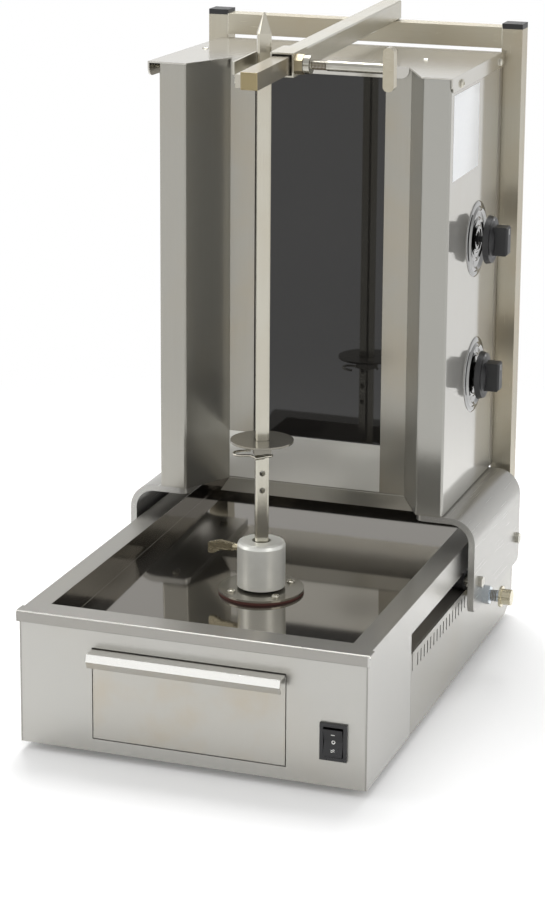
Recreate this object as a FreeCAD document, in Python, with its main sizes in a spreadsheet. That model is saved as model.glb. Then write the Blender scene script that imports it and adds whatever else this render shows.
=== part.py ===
"""Electric skewer grill: a standing skewer turns in front of a sliding electric heating tower.

Millimetres, +X to the viewer's right, the front faces -Y, +Z up. The pieces are drawn about the
middle plane X = 0, the front panel Y = 0 and the floor Z = 0, and then moved so that the origin is
the middle of the footprint.
"""
import FreeCAD, Part

import math
import os
import re
from collections import namedtuple

import Sketcher

Vector = FreeCAD.Vector
Circle = namedtuple("Circle", "x y radius")
MITRED = 1
X_AXIS = Vector(1, 0, 0)
Y_AXIS = Vector(0, 1, 0)
Z_AXIS = Vector(0, 0, 1)

# name, value, what it measures. Heights called "height" stand on the underside of the base.
SIZES = [
    ("sheet_wall", 1.5, "thickness of the housings' sheet steel"),
    ("seam_gap", 0.6, "open seam between two sheet parts"),
    ("foot_tall", 8, "rubber feet below the base"),
    ("foot_radius", 14, "rubber feet"),
    ("foot_inset", 40, "centre of a foot from the base's edges"),
    ("base_width", 316.4, "across the side walls"),
    ("base_depth", 487, "front panel to back wall"),
    ("base_height", 121.5, "underside to rim"),
    ("front_block", 128, "depth of the full-height side walls"),
    ("skirt_height", 95, "lower edge of the tray's side skirt, top of the guide slot"),
    ("rail_height", 76, "top of the rear housing, bottom of the guide slot"),
    ("rail_width", 16.2, "guide channels behind the guide slots, from the side wall's outside"),
    ("relief_place", 132.5, "relief slot in the rear housing's front corner, from the front panel"),
    ("relief_width", 2.4, "relief slot"),
    ("relief_tall", 17, "relief slot, downwards from the guide slot"),
    ("heel_run", 25, "slanted lower rear edge, along the base"),
    ("heel_rise", 9, "slanted lower rear edge, upwards"),
    ("lip_tall", 10, "front lip of the rim"),
    ("lip_out", 2.2, "front lip, beyond the panel"),
    ("lip_return", 11, "front lip, folded round the corners"),
    ("rim_side", 20.2, "rim beside the drip pan"),
    ("pan_front", 22.7, "front wall of the drip pan"),
    ("rim_back", 47, "rim behind the drip pan"),
    ("pan_deep_front", 27.8, "pan floor below the rim, at the front"),
    ("pan_deep_back", 15.6, "pan floor below the rim, at the rear"),
    ("drain_radius", 11, "drain hole over the drawer"),
    ("drain_place", 46, "drain hole from the front panel"),
    ("drawer_middle", -2, "drawer off the middle plane"),
    ("drawer_opening", 177.2, "width of the cut-out"),
    ("drawer_floor", 11.5, "lower edge of the cut-out"),
    ("drawer_head", 95.3, "upper edge of the cut-out"),
    ("drawer_gap", 0.8, "gap round the drawer's front"),
    ("drawer_width", 160, "fat box"),
    ("drawer_deep", 118, "fat box, front to back"),
    ("drawer_tall", 66, "fat box"),
    ("drawer_wall", 1.2, "sheet of the fat box"),
    ("handle_out", 14, "folded handle, top face"),
    ("handle_strip", 6.5, "folded handle, front face"),
    ("handle_hem", 6.5, "folded handle, lower fold"),
    ("handle_lean", 2, "folded handle, slope of its front face"),
    ("handle_back", 3, "folded handle, slope of its lower fold"),
    ("runner_gap", 0.5, "drawer's play in its runners"),
    ("runner_ledge", 12, "ledge of a drawer runner"),
    ("runner_tall", 32, "web of a drawer runner"),
    ("switch_inset", 29.2, "middle of the switch from the right side wall"),
    ("switch_height", 40.5, "middle of the switch"),
    ("switch_width", 24, "bezel"),
    ("switch_tall", 33, "bezel"),
    ("switch_rim", 3.2, "bezel's edge round the rocker"),
    ("switch_deep", 30, "switch body behind the panel"),
    ("switch_out", 2.4, "bezel, proud of the panel"),
    ("rocker_gap", 0.4, "play of the rocker in its bezel"),
    ("rocker_out", 2.2, "raised ends of the rocker"),
    ("rocker_dip", 1, "middle of the rocker below the bezel's face"),
    ("rocker_taper", 2.5, "rocker's back, shorter than its face at each end"),
    ("rocker_swing", 1.6, "room above and below for the tilting rocker"),
    ("pivot_deep", 4.5, "rocker's pivot behind the panel"),
    ("pivot_radius", 1.4, "rocker's pivot pins"),
    ("pivot_pin", 0.55, "rocker's pivot pins in the switch body's walls"),
    ("pivot_fit", 0.05, "play of the pivot pins"),
    ("slit_first", 149, "first index slit from the front panel"),
    ("slit_pitch", 10.4, "index slits"),
    ("slit_count", 20, "index slits"),
    ("slit_width", 3, "index slits"),
    ("slit_low", 59, "lower end of the index slits"),
    ("slit_tall", 12, "index slits"),
    ("plunger_slit", 17, "slits from the first one to the plunger at rest"),
    ("hub_place", 181, "skewer's axis from the front panel"),
    ("hub_radius", 22, "hub"),
    ("hub_tall", 42.3, "hub"),
    ("hub_lift", 5.7, "underside of the hub above the pan floor"),
    ("hub_round", 4, "bevelled top edge of the hub"),
    ("hub_shoulder", 1.2, "middle of the hub's bevelled edge, from both faces"),
    ("socket_radius", 8.5, "hub's socket for the skewer"),
    ("socket_deep", 34, "hub's socket for the skewer"),
    ("shaft_radius", 6, "drive shaft"),
    ("shaft_grip", 6, "drive shaft inside the hub"),
    ("shaft_fit", 0.05, "running clearance of the drive shaft"),
    ("flange_radius", 39, "flange under the hub"),
    ("flange_thick", 2, "flange under the hub"),
    ("gasket_thick", 1.25, "gasket at the flange's middle"),
    ("seal_radius", 11, "shaft seal"),
    ("seal_tall", 3.2, "shaft seal"),
    ("seal_fit", 0.1, "running clearance of the shaft seal"),
    ("screw_circle", 30, "radius of the flange screws' circle"),
    ("screw_radius", 2.5, "flange screws"),
    ("screw_head", 4, "flange screws"),
    ("screw_head_tall", 2.3, "flange screws"),
    ("screw_fit", 0.15, "play of a screw in its hole"),
    ("motor_plate_side", 92, "plate that carries the gearmotor"),
    ("motor_plate_thick", 2.5, "plate that carries the gearmotor"),
    ("plate_gap", 0.4, "motor plate below the lowest pan floor over it"),
    ("gearbox_radius", 35, "gearbox"),
    ("gearbox_tall", 28, "gearbox"),
    ("motor_radius", 26, "motor can"),
    ("motor_tall", 42, "motor can"),
    ("boss_radius", 9.5, "gearbox boss round the drive shaft"),
    ("boss_tall", 4, "gearbox boss above the plate"),
    ("boss_gap", 0.5, "gap round the boss"),
    ("lever_height", 33, "hub's clamping screw above the hub's underside"),
    ("lever_stud", 3, "clamping screw"),
    ("lever_fit", 0.05, "thread clearance of the clamping screw"),
    ("lever_neck", 5, "clamping screw, bare length outside the hub"),
    ("lever_long", 24, "flattened handle of the clamping screw"),
    ("lever_root", 1, "handle, overlap with its neck"),
    ("lever_knee", 13.2, "handle, its highest point from the neck"),
    ("lever_hollow", 12, "handle, start of its lower curve from the neck"),
    ("lever_heel", 19.2, "handle, end of its lower curve from the neck"),
    ("lever_wide", 10, "handle, far end"),
    ("lever_thick", 4, "handle"),
    ("spit_side", 12, "square bar of the skewer"),
    ("spit_bevel", 1.6, "bevelled corners of the skewer"),
    ("spit_turn", 25, "degrees that the skewer is turned at rest"),
    ("spit_top", 607.4, "height where the skewer's point begins"),
    ("spit_point", 18, "skewer's point"),
    ("spit_blunt", 0.12, "blunt end of the point, share of the bar"),
    ("spit_hole", 2.6, "radius of the cross holes"),
    ("spit_hole_low", 195, "height of the lowest cross hole"),
    ("spit_hole_pitch", 16, "cross holes"),
    ("disc_radius", 28.5, "meat disc"),
    ("disc_thick", 2, "meat disc"),
    ("disc_fit", 0.5, "play of the disc on the skewer"),
    ("disc_seat", 12.4, "meat disc above the pin's axis"),
    ("disc_collar", 1.2, "wall of the disc's square collar"),
    ("pin_radius", 1.3, "wire of the disc's pin"),
    ("pin_eye", 17, "eye of the pin beside the skewer"),
    ("pin_eye_wide", 11, "eye of the pin"),
    ("carriage_height", 151, "top of the brackets, under the tower"),
    ("tower_width", 279.4, "across the side panels"),
    ("carriage_inset", 199, "front edges of the brackets from the base's back wall"),
    ("floor_relief", 0.8, "edge of the tower's floor behind the panels that stand on it"),
    ("tower_ahead", 2, "front flanges of the tower before the brackets"),
    ("tower_depth", 171, "side panels, front to back"),
    ("tower_height", 560.5, "top of the lid"),
    ("flange_inside", 114, "inner edge of a front flange from the middle plane"),
    ("recess_half", 88, "half of the recess between the wings"),
    ("recess_deep", 51, "recess behind the front flanges"),
    ("return_fold", 12, "rear folds of the side panels"),
    ("back_flange", 7, "rear-facing folds of the back panel"),
    ("bend_radius", 2.4, "outside of the sheet bends"),
    ("apron_half", 97, "half of the apron below the recess"),
    ("apron_tall", 14, "apron below the recess"),
    ("window_half", 63.5, "half of the window"),
    ("window_low", 198.5, "lower edge of the window"),
    ("frame_thick", 2, "sheet of the window frame"),
    ("glass_overlap", 8, "glass behind the frame"),
    ("glass_thick", 4, "glass ceramic panel"),
    ("board_gap", 13, "glass to insulation board, room for the elements"),
    ("board_thick", 12, "insulation board"),
    ("element_radius", 4, "quartz tubes of the heating elements"),
    ("element_end", 11, "ceramic ends of the quartz tubes"),
    ("element_reach", 48, "half of a quartz tube"),
    ("element_pitch", 52, "quartz tubes of one heating zone"),
    ("element_count", 3, "quartz tubes of one heating zone"),
    ("element_low", 230, "lowest tube of the lower zone"),
    ("element_step", 170, "lower zone to upper zone"),
    ("lid_tall", 14, "lid's lips"),
    ("lid_lip_tall", 11, "lid's lip over the window"),
    ("lid_fit", 0.3, "lid over the side panels"),
    ("lid_ahead", 2, "lid in front of the wings and the window"),
    ("lid_round", 8, "rounded corners of the lid's lips"),
    ("lid_flare", 8.5, "lid's left edge, wider at the front than at the rear"),
    ("lid_screw_high", 8.4, "screws in the lid's side lips, below its top"),
    ("lid_screw_first", 27, "front screws in the lid's side lips, behind the flanges"),
    ("lid_screw_last", 6, "rear screws in the lid's side lips, before the rear edges"),
    ("bracket_thick", 6, "plate of the brackets"),
    ("bracket_inside", 113, "inner edge of a bracket's flange"),
    ("bracket_space", 13, "outside of a bracket from the base's side wall"),
    ("bracket_depth", 170, "brackets, front to back"),
    ("bracket_low", 60, "lower edge of a bracket"),
    ("bracket_bend", 24, "outside of the bracket's bend"),
    ("bracket_round", 8, "rounded corners of a bracket"),
    ("guide_first", 20, "front guide bolts behind the brackets' front edges"),
    ("guide_last", 12, "rear guide bolts before the brackets' rear edges"),
    ("guide_radius", 4, "guide bolts"),
    ("guide_head", 5.6, "guide bolts' heads, across corners, radius"),
    ("guide_head_tall", 3.6, "guide bolts' heads"),
    ("guide_collar", 6, "spacer collar of a guide bolt"),
    ("guide_play", 0.35, "bush in the guide slot, above and below"),
    ("guide_fit", 0.06, "bush on its bolt"),
    ("tower_bolt_first", 14, "front bolts between bracket and tower, behind the brackets' front edges"),
    ("tower_bolt_last", 22, "rear bolts between bracket and tower, before the brackets' rear edges"),
    ("tower_bolt_side", 131, "bolts between bracket and tower, from the middle plane"),
    ("tower_bolt", 3, "bolts between bracket and tower"),
    ("plunger_radius", 3, "pin of the index plunger"),
    ("plunger_fit", 0.06, "pin in its barrel"),
    ("plunger_rise", 2.2, "plunger above the middle of the slits"),
    ("plunger_barrel", 5.3, "threaded barrel"),
    ("plunger_barrel_out", 15.4, "threaded barrel outside the bracket"),
    ("plunger_nut", 9.2, "lock nut, radius across corners"),
    ("plunger_nut_tall", 6.4, "lock nut"),
    ("plunger_knob", 10, "collar of the plunger's knob"),
    ("plunger_collar", 2, "collar of the plunger's knob"),
    ("plunger_cap", 7.5, "plunger's knob"),
    ("plunger_knob_long", 11, "plunger's knob with its collar"),
    ("plunger_sleeve_fit", 0.3, "hollow of the knob round the barrel"),
    ("plunger_stroke", 6.5, "way of the plunger into a slit"),
    ("plunger_blade", 2.3, "flattened tip of the plunger"),
    ("knob_bezel", 36, "chrome bezel of a temperature knob"),
    ("bezel_thick", 3, "chrome bezel"),
    ("bezel_ring", 30, "highest ring of the bezel"),
    ("bezel_dish", 25, "sunken middle of the bezel"),
    ("bezel_floor", 1, "sheet of the bezel in its middle"),
    ("knob_upper_inset", 99, "upper knob behind the front flanges"),
    ("knob_upper_height", 395, "upper knob"),
    ("knob_lower_inset", 102, "lower knob behind the front flanges"),
    ("knob_lower_height", 263, "lower knob"),
    ("knob_skirt", 23, "knob's skirt, at the bezel"),
    ("knob_shoulder", 21.5, "knob's skirt, outside"),
    ("knob_skirt_thick", 5, "knob's skirt"),
    ("knob_boss", 3.2, "cone between a knob's skirt and its grip"),
    ("knob_boss_wide", 17, "cone of a knob, at the skirt"),
    ("knob_boss_narrow", 11, "cone of a knob, at its end"),
    ("knob_grip_tall", 27, "knob's grip"),
    ("knob_grip_wide", 14, "knob's grip"),
    ("knob_bevel", 1.6, "bevelled end of the grip"),
    ("knob_long", 20, "knob from skirt to grip end"),
    ("knob_upper_gap", 8.6, "upper knob above its bezel, pulled out for cleaning"),
    ("knob_lower_gap", 3.2, "lower knob above its bezel"),
    ("knob_bore_end", 0.8, "bore of a knob beyond the regulator's shaft"),
    ("regulator_side", 44, "energy regulator behind a knob"),
    ("regulator_deep", 34, "energy regulator"),
    ("regulator_shaft", 3, "shaft of a regulator"),
    ("regulator_bush", 5, "threaded bush of a regulator"),
    ("shaft_reach", 20, "regulator's shaft outside the panel"),
    ("shaft_play", 0.05, "knob on its shaft"),
    ("tube_side", 20, "square tube of posts and crossbars"),
    ("tube_wall", 1.5, "square tube"),
    ("post_out", 158.1, "outside of a post from the middle plane"),
    ("post_gap", 10, "posts behind the tower's side panels"),
    ("post_low", 128, "lower end of the posts"),
    ("post_top", 581.5, "upper end of the posts"),
    ("cap_tall", 5, "post caps"),
    ("cap_stem", 12, "post caps inside the tubes"),
    ("cap_fit", 0.2, "play of a cap's stem in its tube"),
    ("crossbar_top", 582.8, "top of the upper crossbar"),
    ("lower_bar_top", 330, "top of the lower crossbar"),
    ("spacer_radius", 8, "spacers between back panel and lower crossbar"),
    ("spacer_place", 85, "spacers from the middle plane"),
    ("arm_tilt", 1.5, "degrees that the arm dips to the front"),
    ("arm_side", 18, "outer tube of the arm"),
    ("arm_wall", 1.2, "outer tube of the arm"),
    ("arm_sleeve_wall", 1.6, "sleeve on the front end of the outer tube"),
    ("arm_sleeve_long", 36, "sleeve on the front end of the outer tube"),
    ("arm_sleeve_ahead", 20, "sleeve's reach ahead of the outer tube"),
    ("arm_round", 1.6, "rounded corners of the arm's outer tube"),
    ("bar_bevel", 1, "bevelled edges of the inner bar's front end"),
    ("pilot_deep", 9, "threaded hole for the hook's screw"),
    ("arm_left", 14.5, "left face of the arm from the middle plane"),
    ("arm_front", 160, "front end of the arm's sleeve from the front panel"),
    ("arm_play", 0.3, "inner bar in the outer tube, each side"),
    ("bar_front", 75.6, "front end of the inner bar from the front panel"),
    ("bar_long", 250, "inner bar"),
    ("hook_wall", 2, "strap of the skewer hook"),
    ("hook_tall", 11.4, "strap of the skewer hook"),
    ("hook_low", 2.4, "strap above the arm's underside"),
    ("hook_left", 10.5, "hook's free leg from the skewer's axis"),
    ("hook_behind", 9.5, "hook's cross leg from the skewer's axis"),
    ("hook_free", 46, "hook's free leg, ahead of the skewer's axis"),
    ("hook_gap", 0.5, "strap beside the arm's sleeve"),
    ("hook_bend", 3, "outside of the hook's bends"),
    ("hook_pad", 14, "hook's fixing pad on the inner bar"),
    ("hook_pad_back", 3.4, "hook's fixing pad behind the bar's end"),
    ("hook_screw", 2, "screw of the hook"),
    ("clamp_place", 168, "clamping screw from the front panel"),
    ("clamp_radius", 3.8, "clamping screw's thread"),
    ("clamp_fit", 0.06, "thread clearance of the clamping screw"),
    ("clamp_nut_radius", 8.8, "welded nut, across corners, radius"),
    ("clamp_nut_tall", 7.5, "welded nut"),
    ("clamp_ring", 8.2, "lock ring on the clamping screw"),
    ("clamp_ring_thick", 5.5, "lock ring on the clamping screw"),
    ("clamp_thread", 14.5, "bare thread beyond the ring"),
    ("clamp_sleeve", 4.5, "sleeve on the clamping screw"),
    ("clamp_sleeve_long", 50.5, "sleeve on the clamping screw"),
    ("clamp_bar", 9.8, "crosswise handle, along the screw"),
    ("clamp_bar_tall", 38, "crosswise handle"),
    ("clamp_bar_thick", 9, "crosswise handle, front to back"),
    ("clamp_bar_round", 4.6, "rounded ends of the crosswise handle"),
    ("gland_inset", 48.2, "cable gland from the left side wall"),
    ("gland_height", 38, "cable gland"),
    ("gland_thread", 8, "cable gland's thread"),
    ("gland_hex", 12, "cable gland, across corners, radius"),
    ("gland_hex_tall", 6, "cable gland's hexagon"),
    ("gland_dome", 9.5, "cable gland's dome nut"),
    ("gland_long", 22, "cable gland behind the back wall"),
    ("gland_bore", 4.5, "cable gland's bore"),
    ("vent_wide", 60, "vent slots in the back panel"),
    ("vent_tall", 4, "vent slots"),
    ("vent_pitch", 14, "vent slots"),
    ("vent_count", 6, "vent slots"),
    ("vent_low", 460, "lowest vent slot"),
]

# Places and lengths that follow from the sizes.
FORMULAS = {
    "half_base": "base_width / 2",
    "half_pan": "half_base - rim_side",
    "pan_back": "base_depth - rim_back",
    "half_tower": "tower_width / 2",
    "rim_top": "foot_tall + base_height",
    "skirt_low": "foot_tall + skirt_height",
    "rail_top": "foot_tall + rail_height",
    "housing_front": "front_block + seam_gap",
    "floor_front": "rim_top - pan_deep_front",
    "floor_back": "rim_top - pan_deep_back",
    "floor_slope": "(pan_deep_front - pan_deep_back) / (pan_back - pan_front)",
    "hub_floor": "floor_front + floor_slope * (hub_place - pan_front)",
    "deck": "foot_tall + 2 * sheet_wall",
    "channel_web": "half_base - rail_width - sheet_wall",
    "gland_place": "gland_inset - half_base",
    "drawer_low": "foot_tall + drawer_floor + drawer_gap",
    "drawer_high": "foot_tall + drawer_head - drawer_gap",
    "front_half": "drawer_opening / 2 - drawer_gap",
    "switch_place": "half_base - switch_inset",
    "switch_z": "foot_tall + switch_height",
    "well_half": "switch_width / 2 - switch_rim",
    "slit_z": "foot_tall + slit_low",
    "plunger_y": "slit_first + plunger_slit * slit_pitch",
    "plunger_z": "slit_z + slit_tall / 2 + plunger_rise",
    "flange_low": "hub_floor + gasket_thick",
    "flange_top": "flange_low + flange_thick",
    "hub_low": "hub_floor + hub_lift",
    "hub_top": "hub_low + hub_tall",
    "socket_low": "hub_top - socket_deep",
    "plate_top": "hub_floor - sheet_wall - plate_gap - floor_slope * motor_plate_side / 2",
    "plate_low": "plate_top - motor_plate_thick",
    "gearbox_low": "plate_low - gearbox_tall",
    "shaft_low": "gearbox_low + gearbox_tall / 3",
    "lever_z": "hub_low + lever_height",
    "spit_high": "foot_tall + spit_top",
    "pin_z": "foot_tall + spit_hole_low + 2 * spit_hole_pitch",
    "disc_low": "pin_z + disc_seat",
    "spit_half": "spit_side / 2",
    "carriage_top": "foot_tall + carriage_height",
    "tower_low": "carriage_top + sheet_wall",
    "bracket_front": "base_depth - carriage_inset",
    "bracket_back": "bracket_front + bracket_depth",
    "tower_front": "bracket_front - tower_ahead",
    "tower_back": "tower_front + tower_depth",
    "recess_place": "tower_front + recess_deep",
    "tower_bolt_front": "bracket_front + tower_bolt_first",
    "tower_bolt_back": "bracket_back - tower_bolt_last",
    "tower_top": "foot_tall + tower_height",
    "shell_top": "tower_top - sheet_wall",
    "wing_run": "(flange_inside - recess_half) / (recess_place - tower_front)",
    "wing_wall": "sheet_wall * sqrt(1 + wing_run * wing_run)",
    "window_z": "foot_tall + window_low",
    "frame_back": "recess_place + frame_thick",
    "glass_back": "frame_back + glass_thick",
    "board_front": "glass_back + board_gap",
    "lid_half": "half_tower + lid_fit + sheet_wall",
    "lid_back": "tower_back + 2 * sheet_wall + lid_fit",
    "lid_front": "tower_front - lid_ahead",
    "lid_recess": "recess_place - lid_ahead",
    "lid_recess_half": "recess_half - lid_ahead",
    "lid_left": "lid_half + lid_flare",
    "lid_slope": "lid_flare / (lid_back - lid_front)",
    "lid_screw_front": "tower_front + lid_screw_first",
    "lid_screw_back": "tower_back - lid_screw_last",
    "lid_screw_z": "tower_top - lid_screw_high",
    "bracket_out": "half_base + bracket_space",
    "bracket_wall": "bracket_out - bracket_thick",
    "bracket_z": "foot_tall + bracket_low",
    "guide_front": "bracket_front + guide_first",
    "guide_back": "bracket_back - guide_last",
    "guide_z": "(skirt_low + rail_top) / 2",
    "guide_bush": "(skirt_low - rail_top) / 2 - guide_play",
    "guide_end": "half_base - rail_width + seam_gap",
    "knob_upper_place": "tower_front + knob_upper_inset",
    "knob_lower_place": "tower_front + knob_lower_inset",
    "knob_upper_z": "foot_tall + knob_upper_height",
    "knob_lower_z": "foot_tall + knob_lower_height",
    "bezel_out": "half_tower + bezel_thick",
    "knob_upper_start": "bezel_out + knob_upper_gap",
    "knob_lower_start": "bezel_out + knob_lower_gap",
    "post_front": "tower_back + post_gap",
    "post_back": "post_front + tube_side",
    "post_in": "post_out - tube_side",
    "post_z": "foot_tall + post_low",
    "post_end": "foot_tall + post_top",
    "crossbar_z": "foot_tall + crossbar_top",
    "arm_middle": "arm_left + arm_side / 2",
    "arm_bar": "arm_side - 2 * arm_wall - 2 * arm_play",
    "arm_bar_left": "arm_left + arm_wall + arm_play",
    "arm_start": "arm_front - post_front",
    "bar_start": "bar_front - post_front",
    "spit_place": "hub_place - post_front",
    "clamp_y": "clamp_place - post_front",
    "strap_right": "arm_left - arm_sleeve_wall - hook_gap",
    "strap_left": "strap_right - hook_wall",
    "clamp_tip": "arm_bar_left + arm_bar + arm_play",
    "nut_face": "arm_left + arm_side + arm_sleeve_wall",
    "clamp_face": "nut_face + clamp_nut_tall + seam_gap",
    "clamp_end": "clamp_face + clamp_ring_thick + clamp_thread + clamp_sleeve_long",
    "plunger_tip": "half_base + arm_play",
    "plunger_start": "bracket_out + plunger_barrel_out + seam_gap",
    "plunger_hollow": "plunger_start + plunger_stroke + seam_gap",
    "plunger_end": "plunger_start + plunger_knob_long",
    "right_reach": "max(plunger_end; max(knob_upper_start; knob_lower_start) + knob_long)",
    "left_reach": "bracket_out + guide_head_tall",
    "front_reach": "handle_out + handle_lean",
    "back_reach": "max(post_back; base_depth + gland_long)",
    "origin_x": "(right_reach - left_reach) / 2",
    "origin_y": "(back_reach - front_reach) / 2",
}
ALIASES = {name for name, _, _ in SIZES}

doc = FreeCAD.newDocument("skewer_grill")
sheet = doc.addObject("Spreadsheet::Sheet", "Sizes")
nodes = []
plane_signs = {}


def fill_sheet():
    """Write every driving size, with its alias and its meaning, into the sheet."""
    for row, (name, number, meaning) in enumerate(SIZES, 1):
        sheet.set(f"A{row}", meaning)
        sheet.set(f"B{row}", str(number))
        sheet.setAlias(f"B{row}", name)
    doc.recompute()


def expression(text):
    """Put an expression into the sheet's terms: formulas are written out, sizes are looked up."""

    def word(match):
        name = match[0]
        if name in FORMULAS:
            return f"({expression(FORMULAS[name])})"
        return f"Sizes.{name}" if name in ALIASES else name

    return re.sub(r"[A-Za-z_]\w*", word, str(text))


def number(text):
    """Work out an expression as a plain number."""
    result = sheet.evalExpression(expression(text))
    return float(getattr(result, "Value", result))


def bind(item, properties):
    """Tie an object's properties to expressions."""
    for path, text in properties.items():
        item.setExpression(path, expression(text))


# Sketches and features


def new_body(label):
    """Start a sub-part that is built from sketches."""
    return doc.addObject("PartDesign::Body", label)


def draw_corners(drawing, corners):
    """Draw a closed outline whose corners are tied to expressions."""
    places = [Vector(number(x), number(y), 0) for x, y in corners]
    first = drawing.GeometryCount
    for start, end in zip(places, places[1:] + places[:1]):
        drawing.addGeometry(Part.LineSegment(start, end))
    for index in range(len(corners)):
        following = first + (index + 1) % len(corners)
        drawing.addConstraint(Sketcher.Constraint("Coincident", first + index, 2, following, 1))
    for index, (corner, place) in enumerate(zip(corners, places)):
        for kind, text, length in zip(("DistanceX", "DistanceY"), corner, (place.x, place.y)):
            pin_down(drawing, kind, first + index, 1, text, length)


def draw_circle(drawing, circle):
    """Draw a circle whose centre and radius are tied to expressions."""
    centre = Vector(number(circle.x), number(circle.y), 0)
    index = drawing.addGeometry(Part.Circle(centre, Z_AXIS, number(circle.radius)))
    pin_down(drawing, "DistanceX", index, 3, circle.x, centre.x)
    pin_down(drawing, "DistanceY", index, 3, circle.y, centre.y)
    radius = drawing.addConstraint(Sketcher.Constraint("Radius", index, number(circle.radius)))
    name_and_bind(drawing, radius, circle.radius)


def pin_down(drawing, kind, geometry, point, text, length):
    """Hold one coordinate of a sketched point at an expression."""
    rule = drawing.addConstraint(Sketcher.Constraint(kind, -1, 1, geometry, point, length))
    name_and_bind(drawing, rule, text)


def name_and_bind(drawing, rule, text):
    """Name a constraint and tie it to an expression."""
    name = f"rule{rule}"
    drawing.renameConstraint(rule, name)
    bind(drawing, {f"Constraints.{name}": text})


def sketch(body, plane, at, loops, origin=("0", "0")):
    """Sketch on one of the body's own origin planes, moved `at` along that plane's world axis."""
    sign = -1 if plane == "XZ" else 1
    drawing = body.newObject("Sketcher::SketchObject", f"{body.Name}_sketch")
    support = next(item for item in body.Origin.OriginFeatures if item.Role == f"{plane}_Plane")
    drawing.AttachmentSupport = (support, [""])
    drawing.MapMode = "FlatFace"
    offset = {
        "AttachmentOffset.Base.x": origin[0],
        "AttachmentOffset.Base.y": origin[1],
        "AttachmentOffset.Base.z": f"{sign} * ({at})",
    }
    bind(drawing, offset)
    for loop in loops:
        if isinstance(loop, Circle):
            draw_circle(drawing, loop)
        else:
            draw_corners(drawing, loop)
    plane_signs[drawing.Name] = sign
    return drawing


def rectangle(left, low, right, high):
    """The corners of a rectangle."""
    return [(left, low), (right, low), (right, high), (left, high)]


def pad(body, drawing, length):
    """Thicken a sketch towards the positive end of its axis."""
    feature = body.newObject("PartDesign::Pad", f"{body.Name}_pad")
    feature.Profile = drawing
    feature.Reversed = plane_signs[drawing.Name] < 0
    bind(feature, {"Length": length})
    return feature


def pocket(body, drawing, length, to_low=False):
    """Cut a sketch into the body, towards the positive end of its axis unless to_low is set."""
    doc.recompute()
    before = body.Shape.Volume
    feature = body.newObject("PartDesign::Pocket", f"{body.Name}_pocket")
    feature.Profile = drawing
    feature.Reversed = (plane_signs[drawing.Name] > 0) != to_low
    bind(feature, {"Length": length})
    doc.recompute()
    if not body.Shape.Volume < before:
        raise ValueError(f"{feature.Name} cuts nothing")
    return feature


def revolve(body, drawing, axis="V_Axis"):
    """Turn a sketch fully round one of its own axes."""
    feature = body.newObject("PartDesign::Revolution", f"{body.Name}_revolution")
    feature.Profile = drawing
    feature.ReferenceAxis = (drawing, [axis])
    feature.Angle = 360
    return feature


def dress(body, kind, size, chosen):
    """Round or bevel the chosen edges of the body as it stands."""
    doc.recompute()
    base = body.Tip
    names = [f"Edge{index}" for index, edge in enumerate(base.Shape.Edges, 1) if chosen(edge)]
    if not names:
        raise ValueError(f"{body.Name}: no edge to dress")
    feature = body.newObject(f"PartDesign::{kind}", f"{body.Name}_{kind.lower()}")
    feature.Base = (base, names)
    bind(feature, {"Radius" if kind == "Fillet" else "Size": size})
    return feature


def straight_edge(direction, **where):
    """Choose straight edges along a direction whose middles have the given coordinates."""
    wanted = {axis: number(text) for axis, text in where.items()}

    def chosen(edge):
        if not isinstance(edge.Curve, Part.Line) or len(edge.Vertexes) < 2:
            return False
        run = edge.Vertexes[-1].Point - edge.Vertexes[0].Point
        if abs(run.normalize().dot(direction)) < 0.999:
            return False
        middle = edge.CenterOfMass
        return all(abs(getattr(middle, axis) - place) < 0.01 for axis, place in wanted.items())

    return chosen


def any_edge(*choices):
    """Choose the edges that any of the choices takes."""
    return lambda edge: any(choice(edge) for choice in choices)


def row_along(body, feature, axis, length, count):
    """Repeat a feature in a straight row along one of the body's own axes."""
    doc.recompute()
    pattern = body.newObject("PartDesign::LinearPattern", f"{body.Name}_row")
    pattern.Originals = [feature]
    support = next(item for item in body.Origin.OriginFeatures if item.Role == f"{axis}_Axis")
    pattern.Direction = (support, [""])
    bind(pattern, {"Length": length, "Occurrences": count})
    body.Tip = pattern
    return pattern


# Primitives


def primitive(kind, name, sizes, place, axis=Z_AXIS):
    """Make a Part primitive at a place, with its own Z axis turned along `axis`."""
    item = doc.addObject(f"Part::{kind}", name)
    item.Placement = FreeCAD.Placement(Vector(), FreeCAD.Rotation(Z_AXIS, axis))
    bind(item, sizes)
    bind(item, {f"Placement.Base.{key}": text for key, text in zip("xyz", place)})
    return item


def cylinder(name, radius, length, place, axis=Z_AXIS):
    """A cylinder that starts at a place and runs along `axis`."""
    return primitive("Cylinder", name, {"Radius": radius, "Height": length}, place, axis)


def hexagon(name, radius, length, place, axis=Z_AXIS):
    """A six-sided bar that starts at a place and runs along `axis`."""
    item = primitive("Prism", name, {"Circumradius": radius, "Height": length}, place, axis)
    item.Polygon = 6
    return item


def block(name, low, high):
    """A box between two corners."""
    sizes = {key: f"({end}) - ({start})" for key, start, end in zip(("Length", "Width", "Height"), low, high)}
    return primitive("Box", name, sizes, low)


def joined(name, pieces):
    """Fuse primitives into one solid."""
    item = doc.addObject("Part::MultiFuse", name)
    item.Shapes = pieces
    item.Refine = True
    return item


def without(name, base, tool):
    """Cut one shape out of another."""
    item = doc.addObject("Part::Cut", name)
    item.Base = base
    item.Tool = tool
    return item


def group(name, pieces):
    """Keep identical separate solids together in one node."""
    item = doc.addObject("Part::Compound", name)
    item.Links = pieces
    return item


# Nodes


def finish(item, label):
    """Name a finished piece and move it from the drawing frame to the part's own frame."""
    item.Label = label
    bind(item, {"Placement.Base.x": "-origin_x", "Placement.Base.y": "-origin_y"})
    nodes.append(item)


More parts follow.
